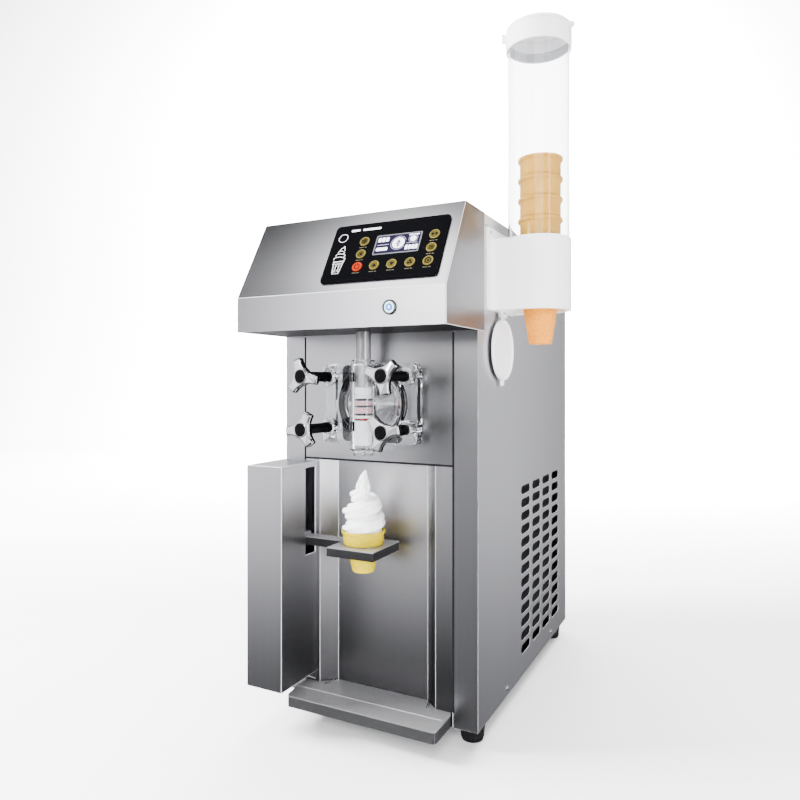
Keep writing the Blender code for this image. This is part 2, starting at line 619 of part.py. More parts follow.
def pulley(name, radius, z, shaft_r, shaft_start):
    y0, y1 = DRIVE_Y
    rim = radius + 3
    profile = [(0, shaft_start), (shaft_r, shaft_start), (shaft_r, y0 - 4), (rim, y0 - 4),
               (rim, y0 - 1), (radius, y0 - 0.5), (radius, y1 + 0.5), (rim, y1 + 1),
               (rim, y1 + 4), (0, y1 + 4)]
    wheel = Shape().lathe(profile, (0, 0, z), "Y", sides=20)
    piece(name, wheel, ALUMINIUM, origin=(0, y0, z))


def belt_outline(extra):
    """The loop round both pulleys, widened by extra, as (x, z) points."""
    top, low = DRIVE_R + extra, MOTOR_PULLEY_R + extra
    lean = math.degrees(math.asin((DRIVE_R - MOTOR_PULLEY_R) / (HEAD_Z - MOTOR_Z)))
    return (arc((0, HEAD_Z), top, -lean, 180 + lean, 20)
            + arc((0, MOTOR_Z), low, 180 + lean, 360 - lean, 10))


def drive():
    case = Shape().box((-GEARBOX_HALF_W, BARREL_END + 3, HEAD_Z - GEARBOX_HALF_H),
                       (GEARBOX_HALF_W, GEARBOX_END, HEAD_Z + GEARBOX_HALF_H))
    front = Shape().rod(SHAFT_R + 0.5, BARREL_END, BARREL_END + 26, (0, 0, HEAD_Z), "Y", sides=20)
    rear = Shape().rod(8.5, GEARBOX_END - 14, GEARBOX_END + 5, (0, 0, HEAD_Z), "Y", sides=20)
    piece("gearbox", case, GREY_PLASTIC, cut=[front, rear])
    pulley("drive_pulley", DRIVE_R, HEAD_Z, 8.0, GEARBOX_END - 12)
    pulley("motor_pulley", MOTOR_PULLEY_R, MOTOR_Z, 6.0, 290.0)

    loop = Shape().prism(belt_outline(0.5 + BELT_T), "Y", DRIVE_Y[0] + 1, DRIVE_Y[1] - 1)
    inner = Shape().prism(belt_outline(0.5), "Y", DRIVE_Y[0] - 5, DRIVE_Y[1] + 5)
    piece("drive_belt", loop, RUBBER, cut=[inner])

    start, end = MOTOR_Y
    motor = Shape().lathe([(0, start), (MOTOR_R - 8, start), (MOTOR_R, start + 8), (MOTOR_R, end - 8),
                           (MOTOR_R - 8, end), (0, end)], (0, 0, MOTOR_Z), "Y", sides=24)
    cradle = Shape().box((-36, 208, FOOT_H + SKIN + GAP), (36, 282, MOTOR_Z - 30))
    socket = Shape().rod(6.5, end - 12, end + 5, (0, 0, MOTOR_Z), "Y", sides=20)
    piece("beater_motor", motor, DARK_STEEL, add=[cradle], cut=[socket])


def refrigeration():
    floor = FOOT_H + SKIN + GAP
    pot = Shape().lathe([(0, floor + 8), (POT_R - 16, floor + 8), (POT_R, 64), (POT_R, 150),
                         (POT_R - 10, 186), (20, POT_TOP), (0, POT_TOP)], (POT_X, POT_Y, 0))
    plate = Shape().box((POT_X - 60, POT_Y - 60, floor), (POT_X + 60, POT_Y + 60, floor + 10))
    piece("compressor", pot, BLACK, add=[plate])

    floor = COIL_Z[0]
    block = Shape().box((COIL_X[0], COIL_Y[0], floor), (COIL_X[1], COIL_Y[1], COIL_Z[1]))
    duct = Shape().rod(FAN_R + 8, COIL_X[0] - 22, COIL_X[0] + 2, (0, FAN_Y, FAN_Z), "X", sides=28)
    open_duct = Shape().rod(FAN_R + 5, COIL_X[0] - 30, COIL_X[0] - 0.01, (0, FAN_Y, FAN_Z), "X",
                            sides=28)
    piece("condenser", block, ALUMINIUM, add=[duct], cut=[open_duct])

    hub = Shape().rod(FAN_HUB_R, FAN_X[0], FAN_X[1], (0, FAN_Y, FAN_Z), "X", sides=16)
    blades = []
    middle = (FAN_X[0] + FAN_X[1]) / 2
    count, pitch = 5, math.radians(28)
    for i in range(count):
        blade = Shape().box((-1.2, -20, FAN_HUB_R - 6), (1.2, 20, FAN_R))
        blade.turned(Matrix.Rotation(pitch, 4, "Z"))
        blade.turned(Matrix.Translation((middle, FAN_Y, FAN_Z))
                     @ Matrix.Rotation(2 * math.pi * i / count, 4, "X"))
        blades.append(blade)
    piece("condenser_fan", hub, BLACK, origin=(middle, FAN_Y, FAN_Z), add=blades)


def cone_lift():
    (x0, x1), (z0, z1) = PILLAR_X, PILLAR_Z
    case = Shape().box((x0, PILLAR_FRONT, z0), (x1, -GAP, z1))
    inside = Shape().box((x0 + SKIN, PILLAR_FRONT + SKIN, z0 + SKIN),
                         (x1 - SKIN, -GAP - SKIN, z1 - SKIN))
    slot = Shape().box((x1 - 5, SLOT_Y[0], SLOT_Z[0]), (x1 + 5, SLOT_Y[1], SLOT_Z[1]))
    gusset = Shape().prism(((-26, z0 + 1), (-3, z0 + 1), (-3, z0 - 13)), "X", x1 - 3, x1 - 1.5)
    piece("lift_pillar", case, STEEL, add=[gusset], cut=[inside, slot])

    (mx0, mx1), (my0, my1) = LIFT_MOTOR_X, LIFT_MOTOR_Y
    motor = Shape().box((mx0, my0, z0 + SKIN + GAP), (mx1, my1, LIFT_MOTOR_TOP))
    socket = Shape().rod(SCREW_R + 0.5, SCREW_BOTTOM - 1, LIFT_MOTOR_TOP + 6,
                         (SCREW_X, SCREW_Y, 0), sides=16)
    piece("lift_motor", motor, BLACK, cut=[socket])
    screw = Shape().rod(SCREW_R, SCREW_BOTTOM, z1 - SKIN - 4, (SCREW_X, SCREW_Y, 0), sides=16)
    piece("lead_screw", screw, POLISHED, origin=(SCREW_X, SCREW_Y, SCREW_BOTTOM))

    low = PLATE_TOP - PLATE_T
    nut = Shape().box((NUT_X[0], NUT_Y[0], low - NUT_EXTRA),
                      (NUT_X[1], NUT_Y[1], PLATE_TOP + NUT_EXTRA))
    arm = Shape().box((NUT_X[1] - 3, ARM_Y[0], low), (-PLATE_HALF_W + 2, ARM_Y[1], PLATE_TOP))
    plate = Shape().box((-PLATE_HALF_W, PLATE_Y[0], low), (PLATE_HALF_W, PLATE_Y[1], PLATE_TOP))
    hole = Shape().rod(CONE_HOLE_R, low - 9, PLATE_TOP + 9, (0, NOZZLE_Y, 0), sides=28)
    thread = Shape().rod(SCREW_R + 0.6, low - 19, PLATE_TOP + 19, (SCREW_X, SCREW_Y, 0), sides=16)
    piece("lift_carriage", nut, DARK_STEEL, origin=(0, 0, low), add=[arm, plate],
          cut=[hole, thread])

    rest = PLATE_TOP + GAP
    profile = [(0, SERVED_Z), (15, SERVED_Z), (23.2, rest), (26.5, rest), (27.4, rest + 7),
               (29.0, rest + 17), (30.0, rest + 20), (28.4, rest + 20), (26.0, rest + 9),
               (24.4, rest + 2), (13, SERVED_Z + 3), (0, SERVED_Z + 3)]
    cup = Shape().lathe(profile, (0, NOZZLE_Y, 0), sides=20)
    piece("served_cone", cup, YELLOW_WAFER, origin=(0, NOZZLE_Y, rest))

    base = rest + 10
    swirl = [(0, 0), (24.2, 0), (26.6, 9.6), (30.8, 17), (31.6, 23), (28, 31), (25, 34),
             (27.6, 40), (27.8, 46), (23, 54), (19.6, 57), (21.8, 62), (20.4, 69), (13, 80),
             (5, 90), (0.8, 93), (0, 93)]
    cream = Shape().lathe([(r, base + h) for r, h in swirl], (0, NOZZLE_Y, 0), sides=16)
    piece("soft_serve", cream, CREAM, origin=(0, NOZZLE_Y, rest))


def drip_tray():
    w, y0, r = TRAY_HALF_W, TRAY_FRONT, 5.0
    side_y = -0.5
    outline = arc((-w + r, y0 + r), r, 180, 270, 3) + arc((w - r, y0 + r), r, 270, 360, 3)
    outline += [(w, side_y), (BAY_HALF_W - 0.3, side_y), (BAY_BACK_HALF_W - 0.3, BAY_DEPTH - 0.5),
                (-BAY_BACK_HALF_W + 0.3, BAY_DEPTH - 0.5), (-BAY_HALF_W + 0.3, side_y),
                (-w, side_y)]
    tray = Shape().prism(outline, "Z", TRAY_BOTTOM, TRAY_TOP)
    drop = (TRAY_TOP - TRAY_LIP) / (TRAY_CREASE - y0)
    far = y0 - 8
    slope = Shape().prism(((TRAY_CREASE, TRAY_TOP), (TRAY_CREASE, TRAY_TOP + 20),
                           (far, TRAY_TOP + 20), (far, TRAY_TOP - drop * (TRAY_CREASE - far))),
                          "X", -w - 5, w + 5)
    under = Shape().box((-w + SKIN, y0 + SKIN, TRAY_BOTTOM - 5),
                        (w - SKIN, side_y - SKIN, TRAY_LIP - SKIN))
    piece("drip_tray", tray, STEEL, origin=(0, y0, TRAY_BOTTOM), cut=[slope, under])


def cone_profile(base, height_from=0.0):
    """The outside of one wafer cone standing on base, from height_from up, as (radius, z)."""
    steps = [(CONE_TIP_R, 0), (CONE_SHOULDER_R, 62), (CONE_BODY_R, 66), (CONE_BODY_R, 84),
             (CONE_LIP_R, 86), (CONE_LIP_R, CONE_H)]
    return [(r, base + h) for r, h in steps if h >= height_from]


def cone_dispenser():
    x0 = HALF_W + GAP
    (z0, z1), (by0, by1) = HOLDER_Z, BRACKET_Y
    plate = Shape().box((x0, by0, z0), (x0 + BRACKET_T, by1, BRACKET_TOP))
    outline = [(x0 + 1, TUBE_Y + HOLDER_R), (x0 + 1, TUBE_Y - HOLDER_R)]
    outline += arc((TUBE_X, TUBE_Y), HOLDER_R, -90, 90, 14)
    holder = Shape().prism(outline, "Z", z0, z1)
    hx, hz = FLAP_HINGE_X, FLAP_HINGE_Z
    lugs = [Shape().box((hx - 2.8, TUBE_Y + s, hz - 3.2), (hx + 2.8, TUBE_Y + s + 4, z0 + 2))
            for s in (-11, 7)]
    pins = Shape().rod(1.5, TUBE_Y - 15, TUBE_Y + 15, (hx, 0, hz), "Y", sides=12)
    tube_seat = Shape().rod(TUBE_R + GAP, TUBE_Z[0] - GAP, z1 + 5, (TUBE_X, TUBE_Y, 0), sides=ROUND)
    throat = Shape().rod(RETAINER_R, z0 - 5, z1, (STACK_X, STACK_Y, 0), sides=24)
    skirt = Shape().rod(37, z0 - 5, z0 + 11, (TUBE_X, TUBE_Y, 0), sides=24)
    piece("dispenser_housing", plate, WHITE, add=[holder] + lugs,
          cut=[tube_seat, throat, skirt, pins])

    tube = Shape().lathe([(TUBE_IN_R, TUBE_Z[0]), (TUBE_R, TUBE_Z[0]), (TUBE_R, TUBE_Z[1]),
                          (TUBE_IN_R, TUBE_Z[1])], (TUBE_X, TUBE_Y, 0), sides=ROUND)
    piece("cone_tube", tube, CLEAR)

    (c0, c1), inner = CAP_Z, TUBE_R + GAP
    ring = Shape().lathe([(inner, c0), (CAP_R, c0), (CAP_R, c1), (TUBE_IN_R, c1),
                          (TUBE_IN_R, TUBE_Z[1] + GAP), (inner, TUBE_Z[1] + GAP)],
                         (TUBE_X, TUBE_Y, 0), sides=ROUND)
    ears = []
    hx, hz = CAP_HINGE_X, CAP_HINGE_Z
    for s in (-10, 6.5):
        ears.append(Shape().box((hx - 2.4, TUBE_Y + s, c1 - 8), (hx + 7, TUBE_Y + s + 3.5, c1 - 0.2)))
        ears.append(Shape().box((hx - 2.2, TUBE_Y + s + 0.1, c1 - 6),
                                (hx + 2.4, TUBE_Y + s + 3.4, hz + 2.4)))
    pins = Shape().rod(1.5, TUBE_Y - 15, TUBE_Y + 15, (hx, 0, hz), "Y", sides=12)
    piece("cap_ring", ring, WHITE, add=ears, cut=[pins])

    low = c1 + 0.5
    lid = Shape().lathe([(0, low), (CAP_R, low), (CAP_R, CAP_LID_TOP - 2),
                         (CAP_R - 2, CAP_LID_TOP), (0, CAP_LID_TOP)], (TUBE_X, TUBE_Y, 0), sides=ROUND)
    piece("tube_lid", lid, WHITE, origin=(hx, TUBE_Y, hz),
          add=[hinge_barrel(hx, hz, 2.6, 6.0, 9.5),
               Shape().box((hx, TUBE_Y - 5.5, low + 0.1), (hx + 8, TUBE_Y + 5.5, low + 2.6)),
               Shape().prism(arc((LID_TAB_X - 9, TUBE_Y), 9, -90, 90, 6)
                             + [(LID_TAB_X - 16, TUBE_Y + 9), (LID_TAB_X - 16, TUBE_Y - 9)],
                             "Z", low + 0.2, low + 2.8)])

    hx, hz = FLAP_HINGE_X, FLAP_HINGE_Z
    dish = Shape().lathe([(0, hx - 2.2), (FLAP_R, hx - 2.2), (FLAP_R, hx + 2.6),
                          (FLAP_R - 1.6, hx + 2.6), (FLAP_R - 2.8, hx), (0, hx)],
                         (0, TUBE_Y, FLAP_CENTRE_Z), "X", sides=ROUND)
    arm = Shape().box((hx - 1.3, TUBE_Y - 6, FLAP_CENTRE_Z + FLAP_R - 2), (hx + 1.3, TUBE_Y + 6, hz))
    tab = Shape().box((hx - 1.8, TUBE_Y - 6, FLAP_TAB_Z), (hx - 0.2, TUBE_Y + 6,
                                                          FLAP_CENTRE_Z - FLAP_R + 2))
    piece("bottom_flap", dish, WHITE, origin=(hx, TUBE_Y, hz),
          add=[arm, tab, hinge_barrel(hx, hz, 2.8, 6.6, 10.5)])

    profile = [(0, STACK_Z)] + cone_profile(STACK_Z)
    for i in range(1, STACK_COUNT):
        base = STACK_Z + STACK_PITCH * i
        profile += [(CONE_BODY_R, base + CONE_H - STACK_PITCH + 0.8)]
        profile += cone_profile(base, height_from=84)
    top = profile[-1][1]
    profile += [(CONE_LIP_R - 2.4, top), (CONE_BODY_R - 2.4, top - 8), (CONE_BODY_R - 2.6, top - 22),
                (CONE_SHOULDER_R - 2.6, top - 27), (CONE_TIP_R - 1, top - 85), (0, top - 85)]
    stack = Shape().lathe(profile, (STACK_X, STACK_Y, 0), sides=18)
    piece("cone_stack", stack, WAFER, origin=(STACK_X, STACK_Y, STACK_Z))


def hinge_barrel(x, z, radius, half, pin_half):
    """A hinge barrel along Y with a thinner pin at each end."""
    y = TUBE_Y
    return Shape().lathe([(0, y - pin_half), (1.2, y - pin_half), (1.2, y - half),
                          (radius, y - half), (radius, y + half), (1.2, y + half),
                          (1.2, y + pin_half), (0, y + pin_half)], (x, 0, z), "Y", sides=12)


cabinet()
front_panels()
top_cover()
hopper()
hood()
controls()
dispensing_head()
star_knobs()
freezing_barrel()
beater()
drive()
refrigeration()
cone_lift()
drip_tray()
cone_dispenser()
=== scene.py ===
"""Looks of the countertop soft-serve machine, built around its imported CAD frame."""
import math

import bmesh
import bpy
from mathutils import Matrix, Vector


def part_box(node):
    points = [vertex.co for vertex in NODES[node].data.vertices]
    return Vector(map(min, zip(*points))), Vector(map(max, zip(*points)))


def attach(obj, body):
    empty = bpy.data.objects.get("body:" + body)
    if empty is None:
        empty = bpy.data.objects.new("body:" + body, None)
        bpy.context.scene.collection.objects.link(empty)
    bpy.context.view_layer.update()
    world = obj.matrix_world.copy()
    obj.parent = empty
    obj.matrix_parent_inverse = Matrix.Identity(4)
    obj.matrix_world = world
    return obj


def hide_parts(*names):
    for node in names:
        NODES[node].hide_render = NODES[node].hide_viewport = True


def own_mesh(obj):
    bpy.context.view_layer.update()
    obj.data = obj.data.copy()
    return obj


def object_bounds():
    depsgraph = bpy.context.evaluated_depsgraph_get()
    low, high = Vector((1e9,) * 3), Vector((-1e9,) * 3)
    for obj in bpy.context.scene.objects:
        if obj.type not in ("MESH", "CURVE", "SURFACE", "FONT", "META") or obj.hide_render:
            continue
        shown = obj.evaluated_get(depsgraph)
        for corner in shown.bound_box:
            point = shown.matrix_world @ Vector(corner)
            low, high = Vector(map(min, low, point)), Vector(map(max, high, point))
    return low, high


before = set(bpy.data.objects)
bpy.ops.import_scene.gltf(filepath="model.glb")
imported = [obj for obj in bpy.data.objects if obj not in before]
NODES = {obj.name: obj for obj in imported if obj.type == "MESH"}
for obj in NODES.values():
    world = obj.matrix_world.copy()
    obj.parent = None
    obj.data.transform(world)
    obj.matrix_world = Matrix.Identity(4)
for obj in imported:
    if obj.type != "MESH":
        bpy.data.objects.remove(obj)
CAD_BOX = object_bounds()
MM = 0.001

# ---------------- places, read from the frame


def mid(node):
    """The middle of a node's box, in metres."""
    low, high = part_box(node)
    return (low + high) / 2


CENTRE_X = mid("front_upper_panel").x
FRONT_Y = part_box("front_upper_panel")[0].y
FLOOR_Z = CAD_BOX[0][2]


def at(x, y, z):
    """A point given in millimetres from the cabinet's middle, its front plane and the floor."""
    return Vector((CENTRE_X + x * MM, FRONT_Y + y * MM, FLOOR_Z + z * MM))


def local(point):
    """The inverse of at()."""
    return Vector(((point.x - CENTRE_X) / MM, (point.y - FRONT_Y) / MM, (point.z - FLOOR_Z) / MM))


def corners(node):
    """The low and high corners of a node's box, in the millimetres of at()."""
    low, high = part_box(node)
    return local(low), local(high)


def size(node):
    """The extent of a node's box, in millimetres."""
    low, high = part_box(node)
    return (high - low) / MM


NOZZLE = local(mid("valve_plunger"))
TUBE = local(mid("cone_tube"))
STACK = local(mid("cone_stack"))
HOOD_LOW, HOOD_HIGH = corners("hood")
HEAD_Z = local(mid("freezing_cylinder")).z
HEAD_THICK = 28.6                # the clear head's face stands this far before the cabinet
STUD_X, STUD_DZ = 61.0, (-34.0, 37.5)
STUDS = tuple((x, z) for x in (-STUD_X, STUD_X) for z in STUD_DZ)

# The hood's slope: its foot, its direction up and its outward normal
BAND_H = 47.0
CREST_Y = 63.3
SLOPE_UP = Vector((0, CREST_Y, HOOD_HIGH.z - HOOD_LOW.z - BAND_H)).normalized()
SLOPE_OUT = Vector((1, 0, 0)).cross(SLOPE_UP)
SLOPE = Matrix.Translation(at(0, HOOD_LOW.y, HOOD_LOW.z + BAND_H)) @ Matrix(
    ((1, 0, 0), SLOPE_UP, SLOPE_OUT)).transposed().to_4x4() @ Matrix.Scale(MM, 4)

# Heights above the slope
PANEL_FACE, KEY_FACE, SCREEN_FACE = 2.8, 3.8, 2.4
PRINT = (PANEL_FACE - 0.02, PANEL_FACE + 0.12)
SCREEN_PRINT = (SCREEN_FACE - 0.02, SCREEN_FACE + 0.1)

# ---------------- meshes


def frame_of(origin, axis="Z"):
    """Millimetres around a point, with local Z along the named axis."""
    turn = {"Z": Matrix.Identity(4), "Y": Matrix.Rotation(-math.pi / 2, 4, "X"),
            "-Y": Matrix.Rotation(math.pi / 2, 4, "X"),
            "X": Matrix.Rotation(math.pi / 2, 4, "Y"),
            "-X": Matrix.Rotation(-math.pi / 2, 4, "Y")}[axis]
    return Matrix.Translation(at(*origin)) @ turn @ Matrix.Scale(MM, 4)


CABINET = frame_of((0, 0, 0))
NOZZLE_AXIS = frame_of((0, NOZZLE.y, 0))
HEAD_FACE = frame_of((0, 0, HEAD_Z), "-Y")


def in_scene(name, data):
    """A new object in the scene."""
    obj = bpy.data.objects.new(name, data)
    bpy.context.scene.collection.objects.link(obj)
    return obj


def solid(name, bm):
    """A new object from a closed mesh, which is used up."""
    bmesh.ops.recalc_face_normals(bm, faces=bm.faces)
    mesh = bpy.data.meshes.new(name)
    bm.to_mesh(mesh)
    bm.free()
    return in_scene(name, mesh)


def settled(obj, helpers=()):
    """The mesh that an object's modifiers make; the object and its helpers are removed."""
    out = bmesh.new()
    out.from_mesh(obj.evaluated_get(bpy.context.evaluated_depsgraph_get()).to_mesh())
    for used in (obj, *helpers):
        mesh = used.data
        bpy.data.objects.remove(used)
        bpy.data.meshes.remove(mesh)
    return out


def bevelled(obj, width, angle, harden=False):
    """Round an object's edges by a modifier; the width is in millimetres."""
    mod = obj.modifiers.new("edges", "BEVEL")
    mod.width = width * MM
    mod.segments = 2
    mod.limit_method = "ANGLE"
    mod.angle_limit = math.radians(angle)
    mod.harden_normals = harden
    return mod


def piece(name, bm, matrix, body, material, replaces=(), bevel=0.0, smooth=40):
    """Turn a mesh drawn in millimetres into a shown piece that rides on a body."""
    bmesh.ops.transform(bm, matrix=matrix, verts=bm.verts)
    obj = solid(name, bm)
    obj.data.materials.append(material)
    if bevel:
        bevelled(obj, bevel, smooth, harden=True)
    obj.data.shade_smooth()
    obj.data.set_sharp_from_angle(angle=math.radians(smooth))
    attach(obj, body)
    if replaces:
        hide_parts(*replaces)
    return obj


def turns(count):
    """Evenly spaced angles all the way round."""
    return [2 * math.pi * i / count for i in range(count)]


def polar(r, a):
    """The point at radius r and angle a."""
    return r * math.cos(a), r * math.sin(a)


def skin(bm, rings, closed=False):
    """Join rings of points into a capped tube; closed joins the last ring to the first."""
    made = [[bm.verts.new(p) for p in ring] for ring in rings]
    pairs = list(zip(made, made[1:])) + ([(made[-1], made[0])] if closed else [])
    for ring, following in pairs:
        for i, vert in enumerate(ring):
            j = (i + 1) % len(ring)
            bm.faces.new((vert, ring[j], following[j], following[i]))
    if not closed:
        bm.faces.new(made[0])
        bm.faces.new(made[-1])
    return bm


def lathe(profile, sides=64, wobble=None, bm=None):
    """Spin (radius, height) points about local Z; a ring unless both ends meet the axis."""
    bm = bm or bmesh.new()
    open_ring = profile[0][0] > 0
    rings = []
    for radius, height in profile if open_ring else profile[1:-1]:
        ring = []
        for a in turns(sides):
            r = radius + (wobble(a, height, radius) if wobble else 0)
            ring.append((*polar(r, a), height))
        rings.append(ring)
    return skin(bm, rings, closed=open_ring)


def prism(outline, low, high, bm=None):
    """An outline in the XY plane, given thickness."""
    return skin(bm or bmesh.new(), [[(x, y, z) for x, y in outline] for z in (low, high)])


def block(lo, hi, bm=None):
    """A box between two corners."""
    outline = ((lo[0], lo[1]), (hi[0], lo[1]), (hi[0], hi[1]), (lo[0], hi[1]))
    return prism(outline, lo[2], hi[2], bm)


def arc(cx, cy, r, start, end, steps):
    """Points on a circle, from one angle to another in degrees."""
    angles = [math.radians(start + (end - start) * i / steps) for i in range(steps + 1)]
    return [(cx + r * math.cos(a), cy + r * math.sin(a)) for a in angles]


def rounded(x0, y0, x1, y1, r, steps=6):
    """The outline of a rectangle with round corners."""
    return (arc(x1 - r, y1 - r, r, 0, 90, steps) + arc(x0 + r, y1 - r, r, 90, 180, steps)
            + arc(x0 + r, y0 + r, r, 180, 270, steps) + arc(x1 - r, y0 + r, r, 270, 360, steps))


def rod(start, end, radius, sides, bm):
    """A straight round bar between two points."""
    start, end = Vector(start), Vector(end)
    along = (end - start).normalized()
    normal = along.orthogonal().normalized()
    side = along.cross(normal)
    return skin(bm, [[p + (normal * math.cos(a) + side * math.sin(a)) * radius
                      for a in turns(sides)] for p in (start, end)])


def ribbon(points, width, low, high, bm=None, closed=False):
    """A flat strip of even width along points in the XY plane."""
    count = len(points)
    rings = []
    for i, p in enumerate(points):
        before = points[i - 1] if (i or closed) else p
        after = points[(i + 1) % count] if (i < count - 1 or closed) else p
        along = (Vector(after) - Vector(before)).normalized()
        off = Vector((-along.y, along.x)) * width / 2
        a, b = Vector(p) + off, Vector(p) - off
        rings.append([(*a, low), (*b, low), (*b, high), (*a, high)])
    return skin(bm or bmesh.new(), rings, closed=closed)


def turned(bm, matrix):
    """A mesh moved by a matrix while it is still being drawn."""
    bmesh.ops.transform(bm, matrix=matrix, verts=bm.verts)
    return bm


def carved(base, adds=(), cuts=()):
    """Join and cut closed solids exactly, and give back one mesh."""
    body, helpers = solid("temp", base), []
    for operation, group in (("UNION", adds), ("DIFFERENCE", cuts)):
        for bm in group:
            helpers.append(solid("temp", bm))
            mod = body.modifiers.new(operation, "BOOLEAN")
            mod.operation = operation
            mod.solver = "EXACT"
            mod.object = helpers[-1]
    return settled(body, helpers)


# ---------------- materials

SOCKETS = {"metallic": "Metallic", "ior": "IOR", "transmission": "Transmission Weight",
           "coat": "Coat Weight", "coat_rough": "Coat Roughness", "glow": "Emission Strength",
           "subsurface": "Subsurface Weight", "specular": "Specular IOR Level"}


def mapped(tree, source, start, end, low, high):
    """A node that reads a value so that start to end becomes low to high."""
    node = tree.nodes.new("ShaderNodeMapRange")
    for socket, value in zip(("From Min", "From Max", "To Min", "To Max"), (start, end, low, high)):
        node.inputs[socket].default_value = value
    tree.links.new(source, node.inputs["Value"])
    return node


def multiplied(tree, first, second):
    """The product of two colours."""
    mix = tree.nodes.new("ShaderNodeMixRGB")
    mix.blend_type = "MULTIPLY"
    mix.inputs["Fac"].default_value = 1.0
    tree.links.new(first, mix.inputs["Color1"])
    tree.links.new(second, mix.inputs["Color2"])
    return mix.outputs["Color"]


def scaled(tree, source, scale, shift=(0, 0, 0)):
    """Texture coordinates multiplied by scale, then moved by shift."""
    node = tree.nodes.new("ShaderNodeMapping")
    node.inputs["Scale"].default_value = scale
    node.inputs["Location"].default_value = shift
    tree.links.new(source, node.inputs["Vector"])
    return node.outputs["Vector"]


def painted_shade(axis, start, end, factor):
    """One painted shade for surface(): the colour is multiplied by factor at start and 1 at end, so
    the surface looks shaded there.
    """
    k = "XYZ".index(axis)
    return axis, at(start, start, start)[k], at(end, end, end)[k], factor


def paint_shade_on(tree, place, colour, axis, start, end, factor):
    """Multiply a colour by a ramp along one axis of the object, as painted shade."""
    split = tree.nodes.new("ShaderNodeSeparateXYZ")
    tree.links.new(place.outputs["Object"], split.inputs["Vector"])
    reach = mapped(tree, split.outputs[axis], start, end, factor, 1.0)
    reach.interpolation_type = "SMOOTHSTEP"
    return multiplied(tree, colour, reach.outputs["Result"])


def surface(name, colour, rough, grain, tint, bump, depth=0.0002, second=None, glow_colour=None,
            painted_shades=(), **values):
    """A shader whose colour, roughness and relief all follow one noise; its colour may be darkened
    along axes as painted shade.

    The grain is a number per metre, or three of them where the noise is stretched.
    """
    mat = bpy.data.materials.new(name)
    mat.use_nodes = True
    tree = mat.node_tree
    shader = tree.nodes["Principled BSDF"]
    for key, value in values.items():
        shader.inputs[SOCKETS[key]].default_value = value
    if glow_colour:
        shader.inputs["Emission Color"].default_value = (*glow_colour, 1)
    place = tree.nodes.new("ShaderNodeTexCoord")
    noise = tree.nodes.new("ShaderNodeTexNoise")
    noise.inputs["Scale"].default_value = 1.0
    noise.inputs["Detail"].default_value = 4.0
    noise.inputs["Roughness"].default_value = 0.6
    stretch = grain if isinstance(grain, tuple) else (grain,) * 3
    tree.links.new(scaled(tree, place.outputs["Object"], stretch), noise.inputs["Vector"])

    ramp = tree.nodes.new("ShaderNodeValToRGB")
    dark = second or tuple(c * (1 - tint) for c in colour)
    light = colour if second else tuple(min(1.0, c * (1 + tint)) for c in colour)
    for element, position, shade in zip(ramp.color_ramp.elements, (0.3, 0.7), (dark, light)):
        element.position = position
        element.color = (*shade, 1)
    tree.links.new(noise.outputs["Fac"], ramp.inputs["Fac"])
    colour_out = ramp.outputs["Color"]
    # Painted shade: ramps that darken the colour along the object's axes
    for each in painted_shades:
        colour_out = paint_shade_on(tree, place, colour_out, *each)
    tree.links.new(colour_out, shader.inputs["Base Color"])

    spread_out = mapped(tree, noise.outputs["Fac"], 0.3, 0.7, *rough)
    tree.links.new(spread_out.outputs["Result"], shader.inputs["Roughness"])

    relief = tree.nodes.new("ShaderNodeBump")
    relief.inputs["Strength"].default_value = bump
    relief.inputs["Distance"].default_value = depth
    tree.links.new(noise.outputs["Fac"], relief.inputs["Height"])
    tree.links.new(relief.outputs["Normal"], shader.inputs["Normal"])
    return mat


LENGTHWAYS, ACROSS = 5, 900      # brushed grain per metre, along and across the strokes


def brushed(name, colour, rough, strokes="Z", painted_shades=()):
    """Steel with brush strokes along one axis."""
    grain = tuple(LENGTHWAYS if axis == strokes else ACROSS for axis in "XYZ")
    return surface(f"steel_brushed_{name}", colour, rough, grain, 0.03, 0.02, 0.00003,
                   metallic=1.0, painted_shades=painted_shades)


# One brushed steel given lighter and darker base colours part by part as painted light and shade;
# some parts are further darkened by painted shade ramps
steel_level = brushed("level", (0.56, 0.56, 0.58), (0.34, 0.38), "X")
steel_upright = brushed("upright", (0.53, 0.53, 0.555), (0.28, 0.32))
# Painted shade on the hood: darker to the upper left, towards its top and on its side faces, the
# right side most
steel_hood = brushed("hood", (0.90, 0.90, 0.93), (0.33, 0.36), "X",
                     (painted_shade("X", -190, 60, 0.40), painted_shade("Z", 735, 618, 0.30),
                      painted_shade("X", HOOD_HIGH.x - 0.4, HOOD_HIGH.x - 1.8, 0.22),
                      painted_shade("X", HOOD_LOW.x + 0.4, HOOD_LOW.x + 1.8, 0.80)))
# Painted shade on the front recess panel: darker towards the bottom and on its strip right of x 88
# mm
steel_front = brushed("front", (0.80, 0.80, 0.83), (0.38, 0.42),
                      painted_shades=(painted_shade("Z", 30, 370, 0.11), painted_shade("X", 88, 76, 0.55)))
# Painted shade on the pillar: darker towards the bottom
steel_pillar = brushed("pillar", (0.60, 0.60, 0.62), (0.30, 0.34),
                       painted_shades=(painted_shade("Z", 30, 380, 0.30),))
# Painted shade on the door: darker towards its right
steel_door = brushed("door", (0.53, 0.53, 0.55), (0.28, 0.32), painted_shades=(painted_shade("X", 110, -30, 0.40),))
# Painted shade on the right side panel: darker on the front post and towards the back
steel_right = brushed("right", (0.58, 0.58, 0.605), (0.30, 0.34),
                      painted_shades=(painted_shade("Y", 0.5, 2.4, 0.45), painted_shade("Y", 540, 40, 0.50)))
